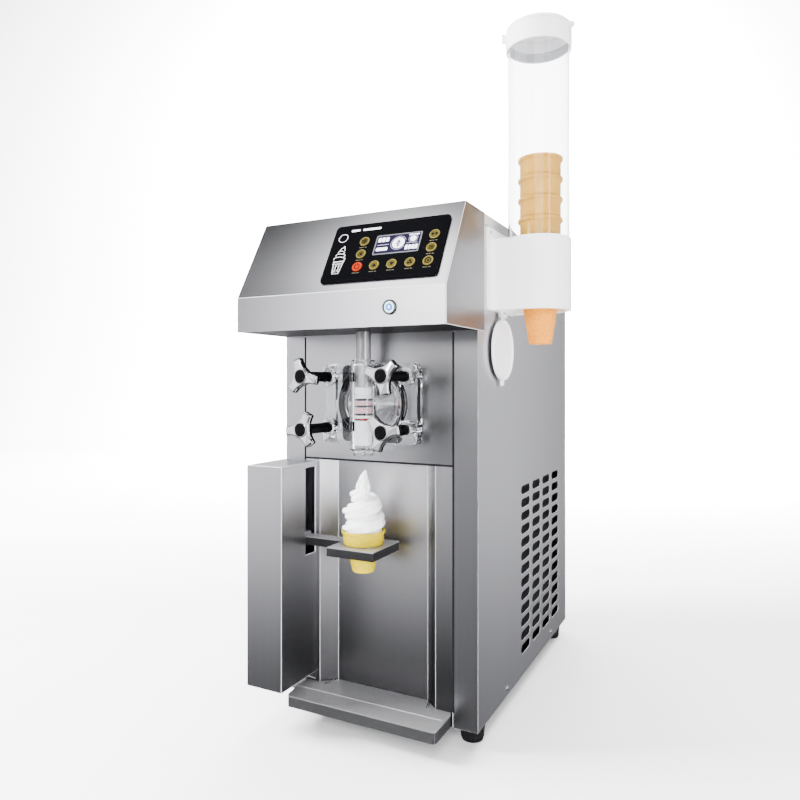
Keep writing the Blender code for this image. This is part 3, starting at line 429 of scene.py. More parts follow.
# A lighter material for rounded sheet edges and the tray's crease: a painted highlight line
bright_edge = surface("bright_edge", (0.80, 0.80, 0.82), (0.30, 0.36), 60, 0.03, 0.05,
                      metallic=0.3, specular=0.6)
# Painted shade on the barrel: nearly black on its left, lighter to the right
barrel_steel = surface("barrel_steel", (0.72, 0.73, 0.74), (0.25, 0.35), 400, 0.05, 0.05,
                       metallic=0.9, painted_shades=(painted_shade("X", -14, 14, 0.03),))
# Painted shade on the tray: darker below its top face
tray_steel = surface("tray_steel", (0.70, 0.70, 0.725), (0.42, 0.50), (LENGTHWAYS, ACROSS, ACROSS),
                     0.04, 0.03, 0.00003, metallic=0.85, painted_shades=(painted_shade("Z", 38.5, 41.5, 0.16),))
# Painted shade on the carriage plate: darker below its top face
plate_steel = surface("plate_steel", (0.46, 0.46, 0.485), (0.40, 0.48), (20, 700, 700), 0.06, 0.04,
                      0.00005, metallic=0.75, painted_shades=(painted_shade("Z", 264.2, 265.8, 0.06),))
steel_polished = surface("steel_polished", (0.74, 0.74, 0.75), (0.10, 0.17), 60, 0.03, 0.03,
                         0.0001, metallic=1.0)
steel_mid = surface("steel_mid", (0.40, 0.40, 0.41), (0.28, 0.36), (700, 700, 20), 0.06, 0.04,
                    0.00005, metallic=1.0)
steel_dark = surface("steel_dark", (0.17, 0.17, 0.18), (0.26, 0.36), (20, 700, 700), 0.08, 0.04,
                     0.00005, metallic=1.0)
# Fins far darker than their own metal: painted shade inside the cabinet
fin_metal_painted_shade = surface("fin_metal_painted_shade", (0.12, 0.12, 0.125), (0.4, 0.5), 500, 0.1, 0.1, metallic=1.0)
chrome = surface("chrome", (0.85, 0.85, 0.86), (0.05, 0.09), 90, 0.02, 0.02, 0.0001, metallic=1.0)
aluminium = surface("aluminium", (0.66, 0.67, 0.68), (0.30, 0.42), 500, 0.06, 0.08, metallic=1.0)
beater_steel = surface("beater_steel", (0.85, 0.85, 0.87), (0.45, 0.55), 300, 0.06, 0.05,
                       metallic=0.15)
# Copper darkened far below its own colour: painted shade inside the cabinet
copper_painted_shade = surface("copper_painted_shade", (0.10, 0.055, 0.035), (0.22, 0.36), 200, 0.12, 0.1, metallic=1.0)
black_glass = surface("black_panel_film", (0.0010, 0.0010, 0.0014), (0.30, 0.36), 900, 0.3, 0.05,
                      0.00005, specular=0.015)
black_plastic = surface("black_plastic", (0.0015, 0.0015, 0.0017), (0.42, 0.50), 1500, 0.3, 0.08,
                        0.00005, specular=0.06)
black_paint = surface("black_paint", (0.006, 0.006, 0.007), (0.4, 0.5), 300, 0.2, 0.2, specular=0.2)
rubber = surface("rubber", (0.005, 0.005, 0.0055), (0.6, 0.8), 1800, 0.25, 0.3, specular=0.25)
white_plastic = surface("white_plastic", (0.86, 0.86, 0.875), (0.28, 0.34), 700, 0.015, 0.05,
                        0.00005, coat=0.2, coat_rough=0.1)
clear_plastic = surface("clear_plastic", (0.97, 0.98, 0.99), (0.02, 0.05), 60, 0.01, 0.02,
                        transmission=1.0, ior=1.47)
clear_tube = surface("clear_tube", (0.97, 0.975, 0.985), (0.03, 0.07), (30, 30, 8), 0.01, 0.03,
                     0.0003, transmission=1.0, ior=1.30)
milky = surface("milky_plastic", (0.86, 0.87, 0.88), (0.22, 0.3), 500, 0.03, 0.05)
seal_black = surface("seal_black", (0.004, 0.004, 0.006), (0.35, 0.5), 900, 0.2, 0.1, specular=0.2)
seal_red = surface("seal_red", (0.16, 0.002, 0.004), (0.3, 0.4), 900, 0.1, 0.1, specular=0.2)
seal_pink = surface("seal_pink", (0.56, 0.30, 0.32), (0.3, 0.4), 900, 0.05, 0.1)
grey_plastic = surface("grey_plastic", (0.26, 0.27, 0.29), (0.45, 0.6), 900, 0.08, 0.2)
key_gold = surface("key_gold", (0.062, 0.047, 0.003), (0.25, 0.35), 900, 0.10, 0.08,
                   metallic=0.35, specular=0.15)
key_rim = surface("key_rim", (0.20, 0.16, 0.045), (0.2, 0.3), 900, 0.1, 0.05, metallic=0.7)
key_red = surface("key_red", (0.20, 0.012, 0.0), (0.25, 0.35), 900, 0.08, 0.08, specular=0.1,
                  glow=0.20, glow_colour=(1.0, 0.07, 0.0))
icon_black = surface("icon_black", (0.002, 0.002, 0.002), (0.4, 0.5), 900, 0.2, 0.05, specular=0.1)
print_white = surface("print_white", (0.60, 0.60, 0.62), (0.4, 0.5), 900, 0.03, 0.05)
print_grey = surface("print_grey", (0.06, 0.055, 0.035), (0.4, 0.5), 900, 0.1, 0.05)
screen_dark = surface("screen", (0.004, 0.003, 0.012), (0.25, 0.3), 200, 0.2, 0.02, specular=0.05,
                      glow=0.03, glow_colour=(0.20, 0.12, 0.55))
screen_edge = surface("screen_edge", (0.07, 0.07, 0.08), (0.2, 0.3), 500, 0.1, 0.03)
screen_glow = surface("screen_icons", (0.6, 0.6, 0.7), (0.3, 0.4), 500, 0.02, 0.02,
                      glow=1.2, glow_colour=(0.93, 0.90, 1.0))
screen_dim = surface("screen_icons_dim", (0.16, 0.15, 0.22), (0.3, 0.4), 500, 0.1, 0.02,
                     glow=0.12, glow_colour=(0.65, 0.62, 0.75))
button_glow = surface("button_ring_glow", (0.55, 0.80, 0.88), (0.3, 0.4), 500, 0.02, 0.02,
                      glow=0.5, glow_colour=(0.55, 0.85, 1.0))
button_blue = surface("button_blue", (0.03, 0.13, 0.42), (0.15, 0.22), 500, 0.08, 0.02,
                      glow=0.25, glow_colour=(0.06, 0.30, 0.9))
button_light = surface("button_mark", (0.75, 0.88, 0.98), (0.25, 0.3), 500, 0.05, 0.02,
                       glow=0.6, glow_colour=(0.7, 0.88, 1.0))
wafer = surface("wafer", (0.72, 0.28, 0.022), (0.6, 0.8), 260, 0.1, 0.5, 0.0006,
                second=(0.55, 0.17, 0.008), specular=0.05)
wafer_pale = surface("wafer_pale", (0.66, 0.38, 0.05), (0.6, 0.8), 200, 0.1, 0.5, 0.0006,
                     second=(0.58, 0.26, 0.03), specular=0.05)
wafer_yellow = surface("wafer_yellow", (0.50, 0.40, 0.0), (0.5, 0.7), 300, 0.1, 0.5, 0.0006,
                       second=(0.44, 0.31, 0.0), specular=0.03)
cream = surface("cream", (0.965, 0.965, 0.97), (0.35, 0.5), 140, 0.02, 0.25, 0.0004,
                subsurface=0.15)

# ---------------- CAD nodes shown as they are

HOOD_ANGLE, SHEET_ANGLE = 12, 30     # edges sharper than this are rounded
CREASE_MARGIN = 15                   # and those this much sharper still keep their shading apart
FLAT_ANGLE, WELD_REACH = 0.4, 0.00001    # facets this near to level, and corners this close, join
# Folded sheets whose rounded edges get a lighter material: a painted highlight along each edge
PAINTED_HIGHLIGHT_SHEETS = ("front_recess_panel", "lift_pillar", "hood", "right_side_panel", "left_side_panel",
           "front_upper_panel")
# The nodes of each material, with the rounding of their edges in millimetres
LOOKS = {
    steel_upright: (("left_side_panel", 1.0), ("back_panel", 0.5), ("base_pan", 0.6)),
    steel_door: (("front_upper_panel", 0.5),),
    steel_right: (("right_side_panel", 1.0),),
    steel_front: (("front_recess_panel", 0.35),),
    steel_pillar: (("lift_pillar", 0.7),),
    steel_hood: (("hood", 1.2),),
    steel_level: (("top_cover", 1.2),),
    steel_polished: (("mix_hopper", 1.0), ("hopper_lid", 1.4), ("lead_screw", 0.6)),
    steel_dark: (("beater_motor", 1.5), ("start_button_bezel", 0.3)),
    plate_steel: (("lift_carriage", 0.9),),
    tray_steel: (("drip_tray", 1.4),),
    aluminium: (("drive_pulley", 0.5), ("motor_pulley", 0.5)),
    barrel_steel: (("freezing_cylinder", 0.6),),
    black_paint: (("condenser", 0.8), ("hood_base", 0.5)),
    black_glass: (("control_panel", 0.4),),
    screen_dark: (("display", 0.2),),
    black_plastic: (("compressor", 2.0), ("condenser_fan", 0.5), ("lift_motor", 1.5)),
    grey_plastic: (("gearbox", 2.5), ("valve_actuator", 2.0)),
    rubber: (("drive_belt", 0.5), ("head_seal", 0.3)),
    steel_mid: (("draw_rod", 0.6),),
    beater_steel: (("beater", 0.4),),
    white_plastic: (("dispenser_housing", 1.2), ("cap_ring", 0.8), ("tube_lid", 0.8),
                    ("bottom_flap", 0.9)),
    clear_tube: (("cone_tube", 0.0),),
}


def dress(node, material, bevel, angle, highlight_look):
    """A CAD node that is shown as it is: its material, and rounded edges by modifiers, which may
    carry a painted highlight material.
    """
    obj = NODES[node]
    obj.data.materials.clear()
    obj.data.materials.append(material)
    if obj.data.has_custom_normals:
        bpy.context.view_layer.objects.active = obj
        with bpy.context.temp_override(object=obj, active_object=obj):
            bpy.ops.mesh.customdata_custom_splitnormals_clear()
    weld = obj.modifiers.new("weld", "WELD")
    weld.merge_threshold = WELD_REACH
    flat = obj.modifiers.new("facets", "DECIMATE")
    flat.decimate_type = "DISSOLVE"
    flat.angle_limit = math.radians(FLAT_ANGLE)
    if bevel:
        edges = bevelled(obj, bevel, angle)
        if highlight_look:
            obj.data.materials.append(highlight_look)
            edges.material = 1
    for polygon in obj.data.polygons:
        polygon.use_smooth = True
    split = obj.modifiers.new("corners", "EDGE_SPLIT")
    split.split_angle = math.radians(angle + CREASE_MARGIN)
    if bevel:
        even = obj.modifiers.new("shading", "WEIGHTED_NORMAL")
        even.keep_sharp = True


for look, nodes in LOOKS.items():
    for node, edge in nodes:
        dress(node, look, edge, HOOD_ANGLE if node == "hood" else SHEET_ANGLE,
              bright_edge if node in PAINTED_HIGHLIGHT_SHEETS else None)


def feet():
    """Ribbed rubber pads round the four feet."""
    for place in ("front_left", "front_right", "rear_left", "rear_right"):
        node = f"foot_{place}"
        centre, extent = local(mid(node)), size(node)
        r, top = extent.x / 2, extent.z
        profile = [(0, 0), (r - 5, 0), (r - 3.6, 0.8), (r - 3, 3), (r - 2.2, 5), (r - 1.8, 8),
                   (r - 2.6, 9), (r - 2.6, 10.4), (r - 1.6, 11.4), (r - 1, top - 6),
                   (r - 0.4, top - 4.4), (r, top - 3.6), (r, top - 0.6), (r - 0.6, top), (0, top)]
        piece(f"{node}_pad", lathe(profile), frame_of((centre.x, centre.y, 0)), "machine", rubber,
              (node,))


def screw_head(name, place, axis, r=3.6):
    """A pan-head screw with a cross slot drawn as a black cross: painted shade in the slot."""
    profile = [(0, 0), (r, 0), (r, 0.6), (r - 0.5, 1.2), (r - 1.4, 1.6), (0, 1.75)]
    piece(name, lathe(profile, 32), frame_of(place, axis), "machine", chrome)
    # The slot's black cross is painted shade in its recess
    cross = block((-r / 2, -0.35, 1.5), (r / 2, 0.35, 1.82))
    block((-0.35, -r / 2, 1.5), (0.35, r / 2, 1.82), cross)
    piece(f"{name}_slot", cross, frame_of(place, axis), "machine", icon_black)


def screws():
    """Panel screws low on both sides, and down the flanges that hold the back panel."""
    right, left = corners("right_side_panel")[1], corners("left_side_panel")[0]
    for i, (y, right_z) in enumerate(((123.4, 36), (375.6, 37.5))):
        screw_head(f"screw_side_right_{i}", (right.x, y, right_z), "X")
        screw_head(f"screw_side_left_{i}", (left.x, y, 36), "-X")
    flange_x = 148
    places = [(x, z) for z in (42, 360, 690) for x in (-flange_x, flange_x)]
    for i, (x, z) in enumerate(places):
        screw_head(f"screw_back_{i}", (x, right.y, z), "Y")


def seam_gaskets():
    """Black gaskets in the joints round the front panels, a little proud of them."""
    door = corners("front_upper_panel")[0]
    top = HOOD_LOW.z - 1.5
    tray = corners("drip_tray")[1].z + 0.5
    strips = bmesh.new()
    for x in (door.x - 0.7, -door.x + 0.7):
        block((x - 1.4, -0.35, tray), (x + 1.4, 0.9, top), strips)
    level = block((door.x, -0.3, door.z - 2.0), (-door.x, 0.9, door.z + 0.8))
    for name, strip in (("door_side_gaskets", strips), ("door_foot_gasket", level)):
        piece(name, strip, CABINET, "machine", rubber, bevel=0.2)


def power_inlet():
    """A black flanged socket, open to the rear, with three pins standing on its floor."""
    middle_x, middle_z, deep = 76.0, 73.0, 23.5
    place = frame_of((middle_x, corners("back_panel")[1].y, middle_z), "Y")
    flange = rounded(-20, -16, 20, 16, 4)
    mouth, wall = rounded(-11, -8, 11, 8, 2), rounded(-11.9, -8.9, 11.9, 8.9, 2)
    outline = ((mouth, -deep + 1.2), (mouth, 0.4), (flange, 0.3), (flange, -1.4), (wall, -1.4),
               (wall, -deep + 0.3))
    socket = skin(bmesh.new(), [[(x, y, z) for x, y in ring] for ring, z in outline])
    piece("inlet_flange", socket, place, "machine", black_plastic)
    pins = bmesh.new()
    for x, y in ((-6, 2), (0, -3), (6, 2)):
        block((x - 1, y - 2, -deep + 1), (x + 1, y + 2, -6), pins)
    piece("inlet_pins", pins, place, "machine", chrome, bevel=0.3)


def condenser_fins():
    """The condenser's upright fins and level tubes, seen through the side panel's slots, both
    darkened as painted shade.
    """
    low, high = corners("condenser")
    back, edge, half_fin, count = high.x - 6.0, 6.0, 0.35, 84
    tube_r, tube_x, tube_edge, rows = 2.6, high.x - 1.6, 16, 11
    y0, y1 = low.y + edge, high.y - edge
    fins = bmesh.new()
    for i in range(count):
        y = y0 + (y1 - y0) * i / (count - 1)
        block((back, y - half_fin, low.z + edge), (high.x + 1.2, y + half_fin, high.z - edge),
              fins)
    piece("condenser_fins", fins, CABINET, "machine", fin_metal_painted_shade)
    tubes = bmesh.new()
    for i in range(rows):
        z = low.z + tube_edge + (high.z - low.z - 2 * tube_edge) * i / (rows - 1)
        rod((tube_x, y0 + 2, z), (tube_x, y1 - 2, z), tube_r, 10, tubes)
    piece("condenser_tubes", tubes, CABINET, "machine", copper_painted_shade)


# ---------------- control panel


def on_slope(x, v, h=0.0):
    """Millimetres around a point on the slope, h above it."""
    return SLOPE @ Matrix.Translation((x, v, h))


def on_panel(name, bm, material):
    """A fixed piece drawn in the slope's own millimetres."""
    piece(name, bm, SLOPE, "machine", material)


KEYS = {"standby": (26.6, 35.0), "up": (51.6, 35.0), "down": (76.5, 35.0), "wash": (101.8, 35.0),
        "menu": (126.4, 35.0), "heat": (26.6, 55.4), "chill": (26.6, 76.1),
        "count": (126.4, 55.4), "set": (126.4, 76.1)}


def icon(name):
    """A small symbol for each key, in millimetres about its middle."""
    bm = bmesh.new()
    t = 0.25
    if name in ("up", "down"):
        s = 1 if name == "up" else -1
        prism([(-2.4, -1.6 * s), (2.4, -1.6 * s), (0, 2.4 * s)][::s], 0, t, bm)
    elif name == "set":
        for x in (-1.9, 1.9):
            prism([(x - 1.6, 1.4), (x + 1.6, 1.4), (x, -1.8)][::-1], 0, t, bm)
    elif name == "standby":
        ribbon(arc(0, 0, 2.7, 125, 415, 20), 0.8, 0, t, bm)
        block((-0.4, 0.6, 0), (0.4, 3.4, t), bm)
    elif name == "menu":
        ribbon(arc(0, 0, 2.9, 0, 345, 24), 0.8, 0, t, bm, closed=True)
        prism(arc(0, 0, 1.1, 0, 345, 14), 0, t, bm)
    elif name == "wash":
        for a in (90, 210, 330):
            prism(arc(*polar(1.7, math.radians(a)), 1.25, 0, 340, 12), 0, t, bm)
    elif name == "heat":
        prism(arc(0, 0, 1.6, 0, 345, 16), 0, t, bm)
        for a in turns(8):
            ribbon([polar(2.4, a), polar(3.5, a)], 0.7, 0, t, bm)
    elif name == "chill":
        for k in range(6):
            a = math.radians(60 * k + 30)
            ribbon([polar(0.3, a), polar(3.5, a)], 0.6, 0, t, bm)
            for branch in (-50, 50):
                x, y = polar(2.0, a)
                dx, dy = polar(1.2, a + math.radians(branch))
                ribbon([(x, y), (x + dx, y + dy)], 0.5, 0, t, bm)
    else:
        for k in range(3):
            block((-2.4, 1.5 - 1.7 * k, 0), (2.4, 2.3 - 1.7 * k, t), bm)
    return bm


def key_caps():
    """Each key's dished cap, the bright rim round it and the symbol in the dish."""
    for name, (x, v) in KEYS.items():
        node = f"key_{name}"
        face, line = (key_red, key_red) if name == "standby" else (key_gold, key_rim)
        r, top, dish = size(node).x / 2, KEY_FACE, KEY_FACE - 0.45
        cap = [(0, 0), (r, 0), (r, top - 0.7), (r - 0.25, dish), (r - 0.9, top),
               (r - 1.5, top - 0.1), (r - 1.9, dish), (0, dish)]
        piece(f"{node}_cap", lathe(cap, 48), on_slope(x, v), node, face, (node,))
        rim = [(r - 0.15, top - 0.5), (r - 0.2, top - 0.05), (r - 0.9, top + 0.12),
               (r - 1.5, top - 0.02), (r - 1.6, top - 0.5)]
        piece(f"{node}_rim", lathe(rim, 48), on_slope(x, v), node, line)
        symbol = turned(icon(name), Matrix.Scale(1.3, 4))
        piece(f"{node}_icon", symbol, on_slope(x, v, dish - 0.02), node, icon_black)


def panel_print():
    """The panel's printed line art: a swirl cone, a badge and plain bars for the words."""
    low, high = PRINT
    art = bmesh.new()
    cx = -4.4
    cup = [(cx - 7.4, 46), (cx - 4.6, 26.5), (cx + 4.6, 26.5), (cx + 7.4, 46)]
    ribbon(cup, 0.95, low, high, art)
    ribbon([(cx - 8.6, 46.2), (cx + 8.6, 46.2)], 1.2, low, high, art)
    ribbon([(cx - 8.2, 42.4), (cx + 7.0, 42.4)], 0.8, low, high, art)
    for lean in (-1, 1):
        for k in range(2):
            x = cx + lean * (-3.4 + 4.6 * k)
            ribbon([(x, 41.0), (x + lean * 2.4, 29.0)], 0.5, low, high, art)
    for half, v, rise in ((8.6, 49.6, 5.4), (7.0, 55.4, 4.8), (4.9, 60.6, 4.0)):
        tier = [(cx - half, v), (cx - half - 0.4, v + rise * 0.35),
                (cx - half + 1.4, v + rise * 0.75), (cx + half * 0.1, v + rise * 0.78),
                (cx + half - 0.8, v + rise * 0.35), (cx + half, v - 0.2),
                (cx + half - 1.8, v - 2.0)]
        ribbon(tier, 0.8, low, high, art)
    ribbon([(cx - 3.4, 64.4), (cx - 2.6, 67.4), (cx + 0.6, 69.2), (cx + 2.2, 71.6)], 0.9, low, high,
           art)
    ribbon([(cx + 2.2, 71.6), (cx + 3.4, 68.2), (cx + 4.2, 64.4)], 0.9, low, high, art)
    ribbon(arc(-8.6, 85.5, 6.6, 0, 350, 36), 0.7, low, high, art, closed=True)
    on_panel("panel_line_art", art, print_white)

    bars = bmesh.new()
    for left, right in ((1.0, 14.5), (18.5, 46.0)):
        prism(rounded(left, 95.0, right, 98.4, 1.6, 4), low, high, bars)
    on_panel("panel_heading_bars", bars, print_white)

    captions = bmesh.new()
    for x, v in KEYS.values():
        for k, width in enumerate((3.4, 2.4, 3.0)):
            x0 = x - 5.2 + 3.8 * k
            block((x0, v - 10.2, low), (x0 + width, v - 9.2, high), captions)
    on_panel("panel_key_captions", captions, print_grey)


def screen():
    """The display's border, its lit and dim symbols and the cone in its round gauge."""
    border = ribbon(rounded(44.5, 52.5, 108.0, 82.6, 1.0, 4), 1.6, SCREEN_FACE - 0.05,
                    PANEL_FACE + 0.15, closed=True)
    on_panel("screen_border", border, screen_edge)
    t0, t1 = SCREEN_PRINT
    gauge, dial = (77.5, 68.5), (97.5, 73.5)
    glow = bmesh.new()
    prism(arc(*gauge, 8.6, 0, 350, 36), t0, t1, glow)
    prism(arc(*dial, 4.4, 0, 350, 24), t0, t1, glow)
    for k in range(3):
        prism(rounded(47 + 5.6 * k, 72.5, 51.4 + 5.6 * k, 79.4, 0.9, 3), t0, t1, glow)
    prism(rounded(47, 58.2, 63.4, 63.2, 1.2, 3), t0, t1, glow)
    for k in range(4):
        prism(rounded(88.6 + 4.6 * k, 56.6, 92.2 + 4.6 * k, 63.6, 0.8, 3), t0, t1, glow)
    prism(rounded(90, 79.3, 105, 80.9, 0.6, 3), t0, t1, glow)
    on_panel("screen_icons_lit", glow, screen_glow)
    dim = bmesh.new()
    ribbon(arc(*gauge, 10.6, 20, 330, 30), 0.8, t0, t1, dim)
    ribbon(arc(*dial, 6.2, 0, 350, 24), 0.7, t0, t1, dim, closed=True)
    ribbon([(47, 67.6), (64, 67.6)], 1.0, t0, t1, dim)
    ribbon([(89, 66.8), (105, 66.8)], 0.9, t0, t1, dim)
    on_panel("screen_icons_dim", dim, screen_dim)
    swirl = bmesh.new()
    for half, v in ((3.4, 66.8), (2.6, 69.2), (1.6, 71.4)):
        prism(rounded(gauge[0] - half, v, gauge[0] + half, v + 1.8, 0.8, 3), t1 - 0.02, t1 + 0.1,
              swirl)
    prism([(75.4, 66.0), (76.9, 62.2), (78.1, 62.2), (79.6, 66.0)], t1 - 0.02, t1 + 0.1, swirl)
    on_panel("screen_cone_symbol", swirl, screen_dark)


def start_button():
    """The lit button below the panel: its ring, blue lens, drop mark and fixed trim."""
    centre = local(mid("start_button"))
    front = HOOD_LOW.y - 2.4
    r = size("start_button").x / 2
    matrix = frame_of((centre.x, front, centre.z), "-Y")
    cap = lathe([(0, -14), (r, -14), (r, -0.8), (r - 0.3, -0.3), (r - 0.9, 0.0), (r - 1.4, -0.15),
                 (r - 2.0, -0.6), (0, -0.6)], 48)
    piece("start_button_cap", cap, matrix, "start_button", button_glow,
          ("start_button",))
    lens = lathe([(0, -0.62), (r - 2.3, -0.62), (r - 2.4, -0.3), (r - 3.2, -0.05), (0, 0.02)], 48)
    piece("start_button_lens", lens, matrix, "start_button", button_blue)
    mark = bmesh.new()
    drop = [(0.0, 2.6), (1.3, 0.5), (1.55, -0.6), (0.9, -1.7), (0, -2.1), (-0.9, -1.7),
            (-1.55, -0.6), (-1.3, 0.5)]
    prism(drop[::-1], -0.05, 0.12, mark)
    piece("start_button_mark", mark, matrix, "start_button", button_light)
    rim = [(r + 1.0, 0.45), (r + 1.0, 0.85), (r + 1.7, 0.95), (r + 2.1, 0.7), (r + 2.1, 0.45)]
    piece("start_button_trim", lathe(rim, 48), matrix, "machine", steel_dark)


# ---------------- dispensing head


def studded(profile, sides):
    """One lathed solid at each of the head's four studs."""
    return [turned(lathe(profile, sides), Matrix.Translation((x, z, 0))) for x, z in STUDS]


def clear_head():
    """Drawn looking at the machine: X across, Y up from the barrel's axis, Z towards the front."""
    w, h = corners("dispensing_head")[1].x, 56.5
    thick = HEAD_THICK
    base = prism(rounded(-w, -h, w, h, 12, 8), 0.4, 17.0)
    adds = [prism(rounded(-49, -h, 49, h, 8, 6), 10, thick - 1.0),
            lathe([(0, 8), (50, 8), (50, thick - 1.6), (48.4, thick), (0, thick)], 72)]
    adds += studded([(0, 9), (12.2, 9), (12.2, thick - 1.6), (10.8, thick), (0, thick)], 40)
    for y, top in ((h - 9.5, 24.3), (-h + 9.5, 23.7)):
        adds.append(prism(rounded(-w + 1, y - 9.4, w - 1, y + 9.4, 8, 6), 11, top))

    column = lathe([(0, -h + 2), (17.4, -h + 2), (19, -h + 3.6), (19, h - 3.6), (17.4, h - 2),
                    (0, h - 2)], 48)
    spout_low = 388.5 - HEAD_Z
    spout = lathe([(0, spout_low), (13.9, spout_low), (14.6, spout_low + 0.8),
                   (14.6, spout_low + 4.6), (16.4, spout_low + 6.2), (18.6, spout_low + 8),
                   (18.6, -h + 7), (0, -h + 7)], 48)
    axis = -NOZZLE.y
    to_axis = Matrix.Translation((0, 0, axis)) @ Matrix.Rotation(-math.pi / 2, 4, "X")
    adds += [turned(column, to_axis), turned(spout, to_axis)]

    star = [polar(9.6 if k % 2 else 12.8, a) for k, a in enumerate(turns(12))]
    bore = lathe([(0, spout_low + 9), (12.8, spout_low + 9), (12.8, h + 6), (0, h + 6)], 48)
    inlet = lathe([(0, 4), (7, 4), (7, axis), (0, axis)], 24)
    cuts = [turned(bore, to_axis), turned(prism(star, spout_low - 4, spout_low + 10), to_axis),
            lathe([(0, -3), (39, -3), (39, 9.6), (38, 10.5), (0, 10.5)], 64),
            turned(inlet, Matrix.Translation((0, -26, 0)))]
    cuts += studded([(0, -4), (4.6, -4), (4.6, 40), (0, 40)], 24)
    piece("clear_head_block", carved(base, adds, cuts), HEAD_FACE, "machine", clear_plastic,
          ("dispensing_head",), smooth=32)

    for i, (x, z) in enumerate(STUDS):
        ring = lathe([(4.9, thick + 0.1), (8.4, thick + 0.1), (8.4, thick + 1.5),
                      (4.9, thick + 1.5)], 32)
        piece(f"stud_washer_{i}", ring, frame_of((x, 0, HEAD_Z + z), "-Y"), "machine",
              steel_polished, bevel=0.3)
    backing = carved(prism(rounded(-48, -h + 2, 48, h - 2, 8, 6), 0.05, 0.32),
                     cuts=[lathe([(0, -2), (44.5, -2), (44.5, 3), (0, 3)], 72)])
    piece("head_backing_gasket", backing, HEAD_FACE, "machine", seal_black)
    gasket = lathe([(52.0, 0.35), (54.2, 0.35), (54.2, 1.4), (52.0, 1.4)], 72)
    piece("head_gasket_line", gasket, HEAD_FACE, "machine", rubber)


def valve():
    """The milky plunger, its seals and the rod's collar."""
    low, high = (corner.z for corner in corners("valve_plunger"))
    r = 12.2
    grooves = (438.0, 445.0, 456.0, 465.0)
    profile = [(0, low + 4), (5.0, low + 4), (5.6, low), (r - 1.2, low), (r, low + 1.2)]
    for z in grooves:
        profile += [(r, z - 1.7), (r - 1.3, z - 1.5), (r - 1.3, z + 1.5), (r, z + 1.7)]
    profile += [(r, 470.5), (r - 0.7, 471.5), (r - 0.7, 474), (r, 475), (r, high - 1.0),
                (r - 1.0, high), (0, high)]
    piece("plunger_body", lathe(profile, 56), NOZZLE_AXIS, "draw_valve", milky,
          ("valve_plunger",), smooth=30)
    for i, z in enumerate(grooves):
        ring = [(r - 1.0 + 1.32 * math.cos(a), z + 2.0 * math.sin(a)) for a in turns(12)]
        piece(f"plunger_seal_{i}", lathe(ring, 56), NOZZLE_AXIS, "draw_valve",
              seal_black if i else seal_red)
    for i, (z0, z1) in enumerate(((446.8, 454.2), (457.8, 463.2))):
        sleeve = [(r - 0.4, z0), (r + 0.12, z0 + 0.3), (r + 0.12, z1 - 0.3), (r - 0.4, z1)]
        piece(f"plunger_band_{i}", lathe(sleeve, 56), NOZZLE_AXIS, "draw_valve", seal_pink)
    collar = lathe([(10.9, 516.5), (17.0, 516.5), (17.0, 518.0), (16.0, 519.2), (12.0, 520.0),
                    (10.9, 520.0)], 48)
    piece("head_top_collar", collar, NOZZLE_AXIS, "machine", clear_plastic,
          bevel=0.3)


# ---------------- star knobs


def curve(start, control, end, t):
    """A point on a curve that leaves start and reaches end, pulled towards control."""
    return start * (1 - t) ** 2 + control * 2 * t * (1 - t) + end * t ** 2


def star_outline(turn):
    """Three tapering arms with hollow curves between them."""
    corner, control, valley = Vector((23.3, 6.7)), Vector((13.0, 5.6)), Vector((6.3, 10.9))
    side = [Vector((25.0, 0)), Vector((25.0, 3.9)), Vector((24.6, 5.6))]
    side += [curve(corner, control, valley, k / 8) for k in range(9)]
    arm = [Vector((p.x, -p.y)) for p in side[::-1]] + side[1:-1]
    return [Matrix.Rotation(math.radians(turn + 120 * k), 2) @ p for k in range(3) for p in arm]


def inset(points, amount):
    """Move a closed outline inwards by an even amount."""
    out = []
    count = len(points)
    for i, p in enumerate(points):
        along = (points[(i + 1) % count] - points[i - 1]).normalized()
        out.append(p + Vector((-along.y, along.x)) * amount)
    return out


def star_knobs():
    """Each knob's black body, chrome face, ring and cap, and the stem on the head's stud."""
    body_steps = ((1.4, -0.6), (0.3, 0.4), (0.1, 2.0), (0.0, 5.4), (0.3, 5.6))
    face_steps = ((0.55, 4.9), (0.05, 5.3), (0.0, 6.6), (0.25, 7.9), (0.8, 8.8), (1.7, 9.3),
                  (2.6, 9.45))
    ring = [(8.6, 9.0), (8.6, 10.1), (9.3, 10.4), (10.2, 10.1), (10.5, 9.0)]
    cap = [(0, 8.8), (8.7, 8.8), (8.7, 9.9), (8.2, 10.2), (6.0, 10.45), (0, 10.6)]
    angles = {"top_left": 108, "bottom_left": 65, "top_right": 42, "bottom_right": 10}
    for place, turn in angles.items():
        node = f"star_knob_{place}"
        x = STUD_X if "right" in place else -STUD_X
        z = HEAD_Z + STUD_DZ["top" in place]
        root = corners(node)[0].y + 9
        outline = star_outline(turn)

        def star(steps):
            """The outline drawn in by each step's amount at that step's height."""
            return skin(bmesh.new(), [[(*p, height) for p in inset(outline, amount)]
                                      for amount, height in steps])

        tip = root + HEAD_THICK + 0.6
        stem = [(0, 0.5), (9.6, 0.5), (9.6, -1.6), (8.2, -3.2), (6.9, -4.2), (6.9, tip + 9),
                (7.5, tip + 8), (7.5, tip + 1.0), (6.9, tip), (4.4, tip), (4.4, -20), (0, -20)]
        for part, bm, look, slot, smooth in (
                ("body", star(body_steps), black_plastic, "black_metal", 50),
                ("face", star(face_steps), chrome, "polished_steel", 60),
                ("ring", lathe(ring, 48), chrome, "polished_steel", 40),
                ("cap", lathe(cap, 48), black_plastic, "black_metal", 40),
                ("stem", lathe(stem[::-1], 40), black_plastic, "black_metal", 35)):
            piece(f"{node}_{part}", bm, frame_of((x, root, z), "-Y"), node, look,
                  (node,) if part == "body" else (), smooth=smooth)


